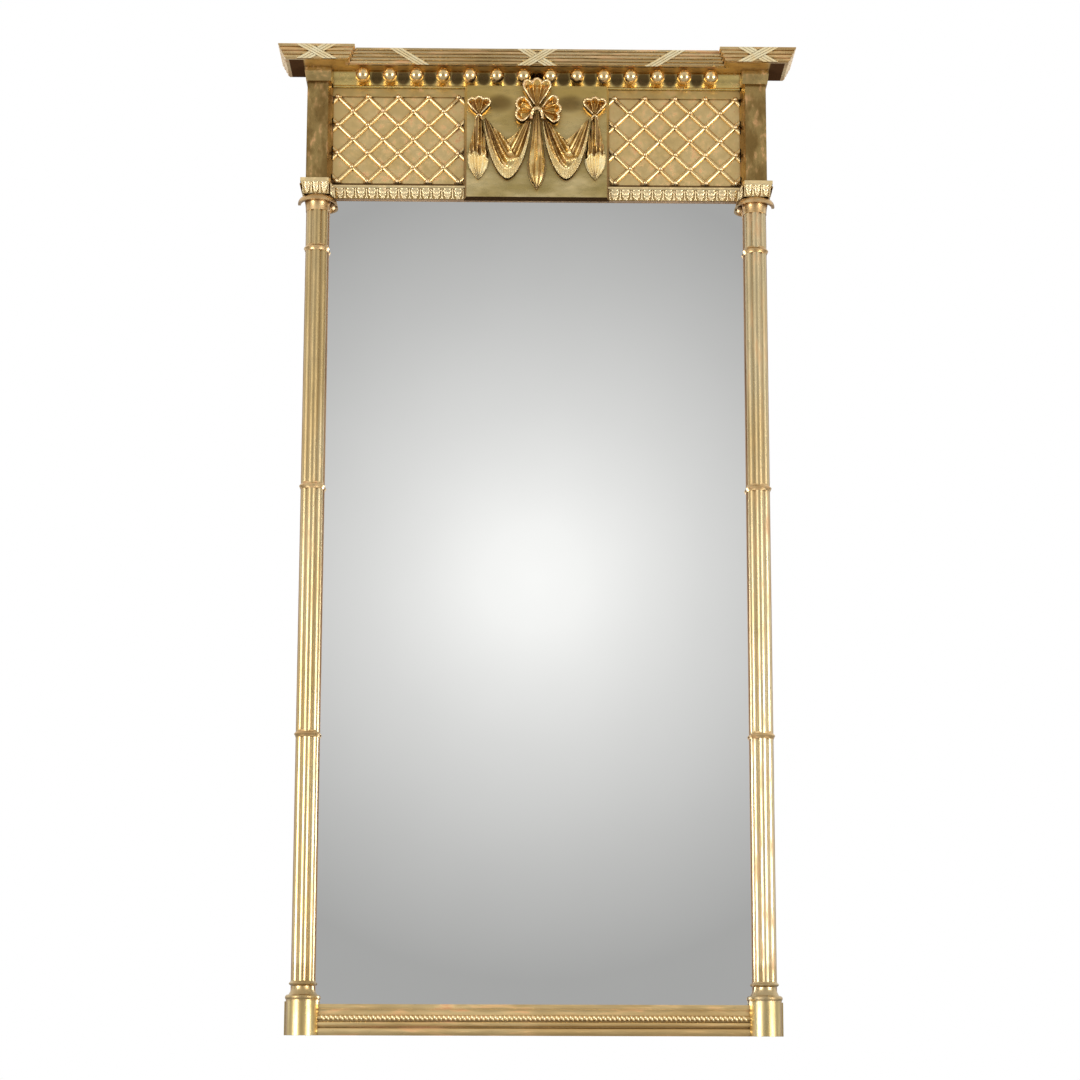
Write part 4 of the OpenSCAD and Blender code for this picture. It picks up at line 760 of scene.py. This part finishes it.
class PIER_OT_drapery(bpy.types.Operator):
    """Hang the bow, the swags and the drops"""

    bl_idname = "pier.drapery"
    bl_label = "Drapery"

    # millimetres on the tablet, as in the solids under them
    half_w, tall, notch, folds, fringe = 38.5, 99.0, 36.0, 2.6, 0.24
    relief, hem, arm = 20.0, 5.0, 6.0
    swag_x, tie_z, face = 48.45, 1489.0, 42.0

    # loops: centre x, centre z, middle angle, half spread, reach, lobes along the rim, their depth
    bow_loops = ((0.0, 1504.0, 90.0, 29.0, 53.0, 3, 0.15),
                 (-2.0, 1504.0, 178.0, 46.0, 34.0, 2, 0.20),
                 (2.0, 1504.0, 3.0, 44.0, 37.0, 3, 0.15))
    fan = (95.5, 1492.0, 90.0, 39.0, 33.0, 3, 0.13)
    tablet_top, over_top = 1550.0, 15.5
    drop_tall, drop_half = 105.0, 17.3

    # share of the full width at each tenth of a drop's length
    side_stops = (0.34, 0.40, 0.52, 0.66, 0.76, 0.86, 0.96, 1.0, 0.86, 0.52, 0.0)
    centre_stops = (0.34, 0.42, 0.50, 0.60, 0.72, 0.85, 0.96, 1.0, 0.90, 0.60, 0.0)

    # no cloth is thinner than this over the tablet, in millimetres
    thinnest = 0.6

    def execute(self, context):
        cloth = gilding("Cloth gilding", (0.89, 0.655, 0.27), (0.61, 0.395, 0.135),
                        0.9, 0.23, 0.35, 0.01, 0.009, dirt_and_shade=(0.18, 0.085, 0.025))
        golden = gilding("Bow gilding", (0.88, 0.60, 0.205), (0.72, 0.455, 0.13),
                         0.6, 0.26, 0.35, 0.03, 0.012, dirt_and_shade=(0.26, 0.12, 0.03))
        # the hem's paler leaf on the raised rims and the knots is partly painted highlight
        hem = gilding("Hem gilding", (0.89, 0.69, 0.38), (0.77, 0.55, 0.27),
                      1.0, 0.24, 0.3, 0.03, 0.002)
        fringe = gilding("Fringe gilding", (1.0, 0.85, 0.47), (0.94, 0.72, 0.33),
                         0.3, 0.25, 0.3, 0.02, 0.002, metallic=0.5, dirt_and_shade=(0.46, 0.30, 0.11))
        self.loops("Bow_loops", self.bow_loops, 1, golden, hem, "bow")
        self.knot(hem)
        self.centre_drop(cloth)
        for side, sign in zip(SIDES, (-1, 1)):
            self.loops(f"{side.title()}_fan", (self.fan,), sign, golden, hem)
            self.drop(side, sign, cloth, fringe)
            self.swag(context.scene.pier_carving.crimps, side, sign, cloth, fringe)
        return {"FINISHED"}

    def tablet_depth(self, place):
        """Where the tablet's face is, for whatever lies on it."""
        return -self.face * MM

    def cloth_point(self, x, high, z):
        """A point of cloth from millimetres, high being its height over the tablet."""
        return (x * MM, -(self.face + max(self.thinnest, high)) * MM, z * MM)

    def rim(self, loop, a, t):
        """Place on a loop in millimetres: a runs across it, t from the knot to its edge."""
        x0, z0, middle, spread, reach, lobes, depth = loop
        turn = math.radians(middle - spread * a * between(0.62, 1.0, ease(t * 1.6)))
        notched = 1.0 - depth * (1.0 - scallop(lobes, a) ** 0.7)
        out = reach * notched * between(0.04, 1.0, t)
        return x0 + out * math.cos(turn), z0 + out * math.sin(turn)

    def loop_lift(self, loop, a, t):
        """Height of a loop: a hollow in each lobe, pleats between, and a hem that rises."""
        lobes = loop[5]
        raised = between(9.5, 15.0, ease(t / 0.8))
        pleat = (1.0 - scallop(lobes, a)) ** 1.5 * ease((t - 0.05) / 0.3)
        ruck = 0.12 * wave(2.5 * lobes * a) * (1.0 - t)
        hollow = raised * (0.36 + 0.45 * pleat + ruck) + 6.0 * (1.0 - t) ** 3
        edge = max(ease((abs(a) - 0.72) / 0.26), ease((t - 0.72) / 0.27))
        return between(hollow, raised, edge)

    def loops(self, name, loops, sign, inside, hem, *replaced):
        """Hollow loops, each in a round hem."""
        columns, rows = 60, 30
        parts = []
        for loop in loops:
            def at(a, t, over=0.0):
                x, z = self.rim(loop, a, t)
                high = self.loop_lift(loop, a, t) + over
                if z > self.tablet_top - 3.0:
                    high = max(high, self.over_top + over)
                return (sign * x * MM, -(self.face + high) * MM, z * MM)

            def foot(place):
                over = place[2] > (self.tablet_top - 1.0) * MM
                return place[1] + 2.0 * MM if over else self.tablet_depth(place)

            sheet = relief(columns, rows, lambda u, v: at(2.0 * u - 1.0, 1.0 - v), foot, sign < 0)
            path = ([at(-1.0, t / 14.0, -0.3) for t in range(3, 14)]
                    + [at(a / 45.0, 1.0, -0.3) for a in range(-45, 46)]
                    + [at(1.0, t / 14.0, -0.3) for t in range(13, 2, -1)])
            count = len(path)
            radii = [(1.2 + 1.1 * min(1.0, 5.0 * i / count, 5.0 * (count - 1 - i) / count)
                      + 0.25 * math.sin(0.9 * i)) * MM for i in range(count)]
            parts += [(*sheet, 0), (*tube([Vector(place) for place in path], radii, 8), 1)]
        points, faces, slots = joined(parts)
        place_mesh(name, new_mesh(name, points, faces, inside, hem, slots=slots), *replaced)

    def knot(self, material):
        """A band wrapped over the bow's middle, with spread feet, and a small tie on each fan."""
        def arch(x0, z0, wide, tall, high, thick):
            path, radii = [], []
            for k in range(33):
                turn = math.pi * (-0.22 + 1.44 * k / 32)
                spread = 1.0 + 0.45 * max(0.0, -math.sin(turn)) ** 0.8
                path.append(Vector(((x0 + wide * spread * math.cos(turn)) * MM,
                                    -(self.face + high - 3.0 * abs(math.cos(turn)) ** 3) * MM,
                                    (z0 + tall * math.sin(turn)) * MM)))
                round_off = 0.80 + 0.20 * math.sin(turn) + 0.07 * math.cos(9 * turn)
                radii.append(thick * round_off * MM)
            return (*tube(path, radii), 0)

        parts = [arch(0.0, 1494.5, 8.4, 10.5, 17.0, 3.4)]
        for sign in (-1, 1):
            parts.append(arch(sign * self.fan[0], self.fan[1] - 2.0, 4.4, 4.5, 12.0, 2.1))
        points, faces, _ = joined(parts)
        place_mesh("Knots", new_mesh("Knot", points, faces, material))

    def ruffle(self, s):
        """Share of a drop's length where its outer cloth ends; s runs across, inwards at 1."""
        return 0.63 + 0.05 * s + 0.03 * math.sin(8.0 * s + 0.8)

    def drop_place(self, u, v, sign):
        """A point of a drop: a neck with a ridge, cloth that widens, a ruffle, the lining's tip."""
        s = 2.0 * u - 1.0
        crimp = 0.05 * math.sin(2.0 * math.pi * 5.5 * v + s)
        crimp = 1.0 + crimp * ease((v - 0.3) / 0.1) * ease((0.72 - v) / 0.1)
        across = s * self.drop_half * swelling(self.side_stops, v) * crimp
        round_off = math.sqrt(max(0.0, 1.0 - abs(s) ** 3))
        ridge = 14.0 * math.exp(-(across / 3.2) ** 2) * ease((0.52 - v) / 0.2)
        sides = 6.0 + 1.6 * math.cos(across * 0.95 + 1.4)
        end = self.ruffle(s) - v
        near = ease((0.26 - end) / 0.16)
        crumple = 3.0 * near * math.sin(9.0 * s + 14.0 * v) * math.sin(5.0 * s - 17.0 * v)
        flare = 5.0 * ease((0.10 - end) / 0.10) * (0.6 + 0.4 * math.sin(14.0 * s + 1.0))
        outer = max(ridge + 2.0, sides) + crumple + flare + 2.0 * near
        ribs = 1.5 * math.cos(17.0 * (s * (1.0 + 0.4 * s * sign))) * (1.0 - 0.5 * s * s)
        lining = 7.0 + ribs + 2.5 * ease((v - 0.7) / 0.2)
        high = between(lining, outer, ease(end / 0.018)) * (0.35 + 0.65 * round_off)
        return self.cloth_point(sign * (self.fan[0] + 1.0 - across), high,
                                self.fan[1] - 1.0 - self.drop_tall * v)

    def centre_drop(self, cloth):
        """A long tail with a middle fold and one on either side, gathered to a point."""
        low, high = (corner.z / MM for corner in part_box("centre_drop"))
        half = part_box("centre_drop")[1].x / MM

        def point(u, v):
            s = 2.0 * u - 1.0
            across = s * half * swelling(self.centre_stops, v)
            round_off = math.sqrt(max(0.0, 1.0 - abs(s) ** 4))
            folds = (2.6 * wave(1.5 * s + 0.12 * math.sin(5.0 * v) + 0.08)
                     + 1.3 * wave(3.0 * s + 0.6 * v))
            raised = 8.0 + 4.0 * (1.0 - s * s) * ease(v / 0.3) + folds
            raised *= 0.35 + 0.65 * round_off
            raised *= 1.0 - 0.25 * ease((v - 0.80) / 0.20)
            return self.cloth_point(across, raised, between(high, low, v))

        points, faces = relief(72, 140, point, self.tablet_depth, True)
        mesh = new_mesh("Centre drop", points, faces, cloth)
        place_mesh("Centre_drop_cloth", mesh, "centre_drop")

    def drop(self, side, sign, cloth, lining):
        """A tail whose outer cloth ends in a ruffle over its pale lining."""
        columns, rows = 64, 150
        points, faces = relief(columns, rows, lambda u, v: self.drop_place(u, v, sign),
                               self.tablet_depth, sign > 0)
        slots = [int((i // columns + 0.5) / rows
                     > self.ruffle(2.0 * (i % columns + 0.5) / columns - 1.0) - 0.04)
                 for i in range(columns * rows)]
        slots += [0] * (len(faces) - len(slots))
        mesh = new_mesh("Drop", points, faces, cloth, lining, slots=slots)
        place_mesh(f"{side.title()}_drop_cloth", mesh, f"{side}_drop")

    def lift(self, s, v, t):
        """Height of the cloth over the tablet: gathered arms that cross, and the fringe."""
        edge = t + 0.10 + 0.55 * (v - 0.2)
        above = ease(edge / 0.05)
        sweep = wave(self.folds * (v - 0.60 * (1.0 - t)) + 0.1) ** 1.3
        under = wave(self.folds * (v - 0.52 * (1.0 + t)) + 0.35) ** 1.3
        inner = 1.0 - abs(s) ** 4
        arch = math.sin(math.pi * between(0.16, 0.84, v))
        full = (self.relief - self.hem) * (0.3 + 0.7 * inner) * arch
        small = 0.6 * wave(11.0 * v - 5.6 * t) * inner
        roll = 2.0 * math.exp(-((edge - 0.10) / 0.07) ** 2) * inner
        cloth = full * between(0.22 + 0.40 * under, 0.44 + 0.56 * sweep, above)
        cloth += small + roll * above
        hanging = ease((v - 1.0 + self.fringe) / 0.03)
        return self.hem + between(cloth, full * 0.34 + 1.5, hanging)

    def place(self, u, v, sign, crimps):
        """A point of a swag: u runs along it, v from its upper edge to the fringe's end."""
        s = 2.0 * u - 1.0
        bend = abs(s)
        top = ((self.half_w - 1.5) * s,
               self.arm / 2 - (self.notch + self.arm / 2) * (1.0 - bend ** 1.2))
        low = (math.copysign(self.half_w * (1.0 - (1.0 - bend) ** 1.5), s),
               -self.tall * (1.0 - bend ** 1.65) - self.arm / 2)
        x, z = between(top[0], low[0], v), between(top[1], low[1], v)
        height = self.lift(s, v, -s * sign)
        hanging = ease((v - 1.0 + self.fringe) / 0.03)
        threads = wave(u * crimps)
        height += hanging * 1.5 * (threads - 0.35) * (0.4 + 0.6 * wave(u * crimps * 0.37))
        height += hanging * 0.6 * (v > 0.985) - 1.6 * hanging * ease((v - 0.96) / 0.04)
        z -= hanging * 1.2 * threads * ease((v - 0.9) / 0.1)
        return self.cloth_point(sign * (self.swag_x + x), height, self.tie_z + z)

    def swag(self, crimps, side, sign, cloth, fringe):
        columns, rows = crimps * 4, 84
        points, faces = relief(columns, rows, lambda u, v: self.place(u, v, sign, crimps),
                               self.tablet_depth, sign < 0)
        first = int(rows * (1.0 - self.fringe)) * columns
        slots = [int(first <= i < rows * columns) for i in range(len(faces))]
        mesh = new_mesh("Swag", points, faces, cloth, fringe, slots=slots)
        place_mesh(f"{side.title()}_swag_cloth", mesh, f"{side}_swag")


class PIER_OT_glass(bpy.types.Operator):
    """Silver the plate"""

    bl_idname = "pier.glass"
    bl_label = "Glass"

    def execute(self, context):
        finish = Finish("Silvered glass")
        haze = finish.step(finish.noise(0.25), 0.3, 0.8)
        tone = finish.mix(haze, (0.945, 0.950, 0.935), (0.925, 0.930, 0.915))
        dress(finish.set(Base_Color=tone, Metallic=1.0, Roughness=0.015), "mirror_plate")
        return {"FINISHED"}


class PIER_OT_carcass(bpy.types.Operator):
    """Give the carcass, the backboards and the fixings their materials"""

    bl_idname = "pier.carcass"
    bl_label = "Carcass and back"

    pine = ((0.42, 0.26, 0.13), (0.27, 0.15, 0.07))
    deal = ((0.34, 0.22, 0.12), (0.21, 0.125, 0.065))

    def execute(self, context):
        upright = timber("Pine upright", *self.pine)
        across = timber("Pine across", *self.pine, along="X")
        boards = timber("Backboards", *self.deal, 0.7, "X")
        dress(upright, *both("stile"))
        dress(across, "bottom_rail", "frieze_rail")
        dress(self.soffit(), "cornice_board")
        dress(boards, "backboard_lower", "backboard_middle", "backboard_upper")
        dress(old_metal("Iron", (0.10, 0.09, 0.08), (0.12, 0.05, 0.03), 0.8, 0.55),
              "backboard_nails")
        dress(old_metal("Steel", (0.42, 0.41, 0.39), (0.20, 0.17, 0.14)), "hanger_screws")
        dress(old_metal("Brass", (0.60, 0.42, 0.16), (0.30, 0.20, 0.08)),
              *both("hanger_plate", "hanging_ring"))
        return {"FINISHED"}

    def soffit(self):
        """Pine above and behind; below, toned gold between the imposts, dark brown outside them."""
        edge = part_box("right_impost_block")[1].x
        finish = Finish("Cornice board")
        grain = finish.noise(0.012, 5.0, 0.62, (0.06, 1.0, 1.0))
        cloud = finish.noise(0.03, 4.0, 0.6)
        wood = finish.mix(finish.step(grain, 0.38, 0.62), *self.pine)
        gold = finish.mix(finish.step(cloud, 0.35, 0.65), (0.80, 0.52, 0.17), (0.58, 0.34, 0.095))
        away = finish.maths("ABSOLUTE", finish.along("X"))
        outside = finish.step(away, edge - 2.0 * MM, edge + 2.0 * MM)
        under = finish.step(finish.part(finish.facing, "Z"), -0.5, -0.8)
        leaf = finish.mix(outside, gold, (0.085, 0.040, 0.017))
        shiny = finish.times(under, finish.step(outside, 0.0, 1.0, 0.8, 0.0))
        return finish.set(Base_Color=finish.mix(under, wood, leaf), Metallic=shiny, Roughness=0.42,
                          Specular_IOR_Level=0.0)


class PIER_OT_studio(bpy.types.Operator):
    """Set the floor, the surroundings, the lamps and the camera"""

    bl_idname = "pier.studio"
    bl_label = "Studio"

    # the photograph's frame is square; its camera looks up at the mirror, level with its foot
    frame_px, sensor_mm = 1080.0, 36.0
    focal_px = 2650.0
    place = (-0.0530, -4.218, -0.0242)
    pitch, yaw, roll = math.radians(10.93), math.radians(0.824), math.radians(0.149)
    # where the plate's reflection is brightest, in the photograph's pixels, and how it falls off
    glow_px = (535.0, 577.0)
    glow_stops = ((0.0, 1.005), (0.13, 0.96), (0.28, 0.84), (0.43, 0.73), (0.73, 0.55),
                  (1.0, 0.405))
    glow_reach = 0.151
    # how bright the room is straight ahead, at its sides, overhead and underfoot
    room_dim, room_bright, room_top, room_low = 0.47, 0.80, 0.70, 0.30
    lamp_size, lamp_aim = (1.9, 2.1), (0.0, 0.0, 0.8)
    floor_reach, floor_grey, floor_white = 12.0, 0.45, 0.85

    def execute(self, context):
        scene = context.scene
        self.camera(scene)
        self.lamps(scene.pier_studio)
        self.floor(scene.pier_studio)
        self.world(scene)
        scene.view_settings.view_transform = "Standard"
        return {"FINISHED"}

    def axes(self):
        """The camera's forward, right and up directions."""
        forward = Vector((math.sin(self.yaw) * math.cos(self.pitch),
                          math.cos(self.yaw) * math.cos(self.pitch), math.sin(self.pitch)))
        level = Vector((math.cos(self.yaw), -math.sin(self.yaw), 0.0))
        above = level.cross(forward)
        right = math.cos(self.roll) * level + math.sin(self.roll) * above
        up = math.cos(self.roll) * above - math.sin(self.roll) * level
        return forward, right, up

    def camera(self, scene):
        forward, right, up = self.axes()
        data = bpy.data.cameras.new("Camera")
        data.sensor_width = self.sensor_mm
        data.lens = data.sensor_width * self.focal_px / self.frame_px
        turned = Matrix((right, up, -forward)).transposed()
        scene.camera = linked("Camera", data)
        scene.camera.matrix_world = Matrix.Translation(self.place) @ turned.to_4x4()

    def lamps(self, settings):
        for side in (-1, 1):
            data = bpy.data.lights.new("Softbox", "AREA")
            data.shape = "RECTANGLE"
            data.size, data.size_y = self.lamp_size
            data.energy = settings.lamp_power
            lamp = linked("Softbox", data)
            lamp.location = (side * settings.lamp_side, -settings.lamp_front,
                             settings.lamp_height)
            way = Vector(self.lamp_aim) - lamp.location
            lamp.rotation_euler = way.to_track_quat("-Z", "Y").to_euler()

    def floor(self, settings):
        """A grey floor that the camera sees as nearly white."""
        finish = Finish("Floor")
        finish.set(Base_Color=(self.floor_grey,) * 3, Roughness=0.6)
        path = finish.node("ShaderNodeLightPath").outputs
        seen = finish.maths("ADD", path["Is Camera Ray"], path["Is Transmission Ray"])
        white = finish.node("ShaderNodeEmission").outputs[0]
        shown = finish.node("ShaderNodeMixShader", {0: finish.times(seen, self.floor_white),
                                                    1: finish.surface.outputs[0], 2: white})
        finish.put(finish.tree.nodes["Material Output"].inputs["Surface"], shown.outputs[0])
        reach, drop = self.floor_reach, -settings.floor_drop
        corners = [(x * reach, y * reach, drop) for x, y in ((-1, -1), (1, -1), (1, 1), (-1, 1))]
        made = linked("Floor", new_mesh("Floor", corners, [(0, 1, 2, 3)], finish.material))

    def world(self, scene):
        """White behind the mirror; in front, a room with bright sides and a glow in the plate."""
        forward, right, up = self.axes()
        half = self.frame_px / 2
        seen = (forward + right * (self.glow_px[0] - half) / self.focal_px
                - up * (self.glow_px[1] - half) / self.focal_px).normalized()
        made = bpy.data.worlds.new("Studio")
        made.use_nodes = True
        scene.world = made
        sky = Nodes(made.node_tree)
        way = sky.node("ShaderNodeTexCoord").outputs["Generated"]
        dot = sky.node("ShaderNodeVectorMath", {0: way, 1: (seen.x, -seen.y, seen.z)},
                       operation="DOT_PRODUCT")
        angle = sky.maths("DIVIDE", sky.maths("ARCCOSINE", dot.outputs["Value"]), self.glow_reach)
        ramp = sky.node("ShaderNodeValToRGB", {0: angle})
        stops = ramp.color_ramp.elements
        for place, level in self.glow_stops[1:-1]:
            stops.new(place).color = (level, level, level, 1.0)
        for end in (0, -1):
            stops[end].color = (*(self.glow_stops[end][1],) * 3, 1.0)

        def grey(level):
            return (level,) * 3

        sideways = sky.maths("ABSOLUTE", sky.part(way, "X"))
        rising = sky.part(way, "Z")
        band = sky.times(sky.step(sideways, 0.14, 0.34), sky.step(sideways, 0.98, 0.86))
        band = sky.times(band, sky.step(rising, -0.40, -0.10))
        room = sky.mix(band, grey(self.room_dim), grey(self.room_bright))
        room = sky.mix(sky.step(rising, 0.10, 0.75), room, grey(self.room_top))
        room = sky.mix(sky.step(rising, -0.12, -0.30), room, grey(self.room_low))
        ahead = sky.mix(sky.step(angle, 1.05, 1.7), ramp.outputs["Color"], room)
        behind = sky.maths("GREATER_THAN", sky.part(way, "Y"))
        path = sky.node("ShaderNodeLightPath").outputs
        sharp = sky.maths("MAXIMUM", path["Is Glossy Ray"], path["Is Transmission Ray"])
        white = sky.maths("MAXIMUM", path["Is Camera Ray"], sky.times(behind, sharp))
        backdrop = sky.tree.nodes["Background"].inputs["Color"]
        sky.put(backdrop, sky.mix(white, ahead, grey(1.0)))


class PIER_PT_panel(bpy.types.Panel):
    """Lists the steps that dress the mirror"""

    bl_idname = "PIER_PT_panel"
    bl_label = "Pier Mirror"
    bl_space_type = "VIEW_3D"
    bl_region_type = "UI"
    bl_category = "Pier Mirror"

    def draw(self, context):
        scene = context.scene
        for group in (scene.pier_gilding, scene.pier_carving, scene.pier_studio):
            box = self.layout.box()
            for key in group.bl_rna.properties.keys():
                if key not in ("rna_type", "name"):
                    box.prop(group, key)
        for operator in STEPS:
            self.layout.operator(operator.bl_idname)


STEPS = (PIER_OT_gilding, PIER_OT_lattice, PIER_OT_carving, PIER_OT_drapery, PIER_OT_glass,
         PIER_OT_carcass, PIER_OT_studio)
CLASSES = (GildingSettings, CarvingSettings, StudioSettings, *STEPS, PIER_PT_panel)


def register():
    for item in CLASSES:
        bpy.utils.register_class(item)
    bpy.types.Scene.pier_gilding = bpy.props.PointerProperty(type=GildingSettings)
    bpy.types.Scene.pier_carving = bpy.props.PointerProperty(type=CarvingSettings)
    bpy.types.Scene.pier_studio = bpy.props.PointerProperty(type=StudioSettings)


def unregister():
    del bpy.types.Scene.pier_studio
    del bpy.types.Scene.pier_carving
    del bpy.types.Scene.pier_gilding
    for item in reversed(CLASSES):
        bpy.utils.unregister_class(item)


def main():
    register()
    bpy.ops.pier.gilding()
    bpy.ops.pier.lattice()
    bpy.ops.pier.carving()
    bpy.ops.pier.drapery()
    bpy.ops.pier.glass()
    bpy.ops.pier.carcass()
    bpy.ops.pier.studio()


if __name__ == "__main__":
    main()
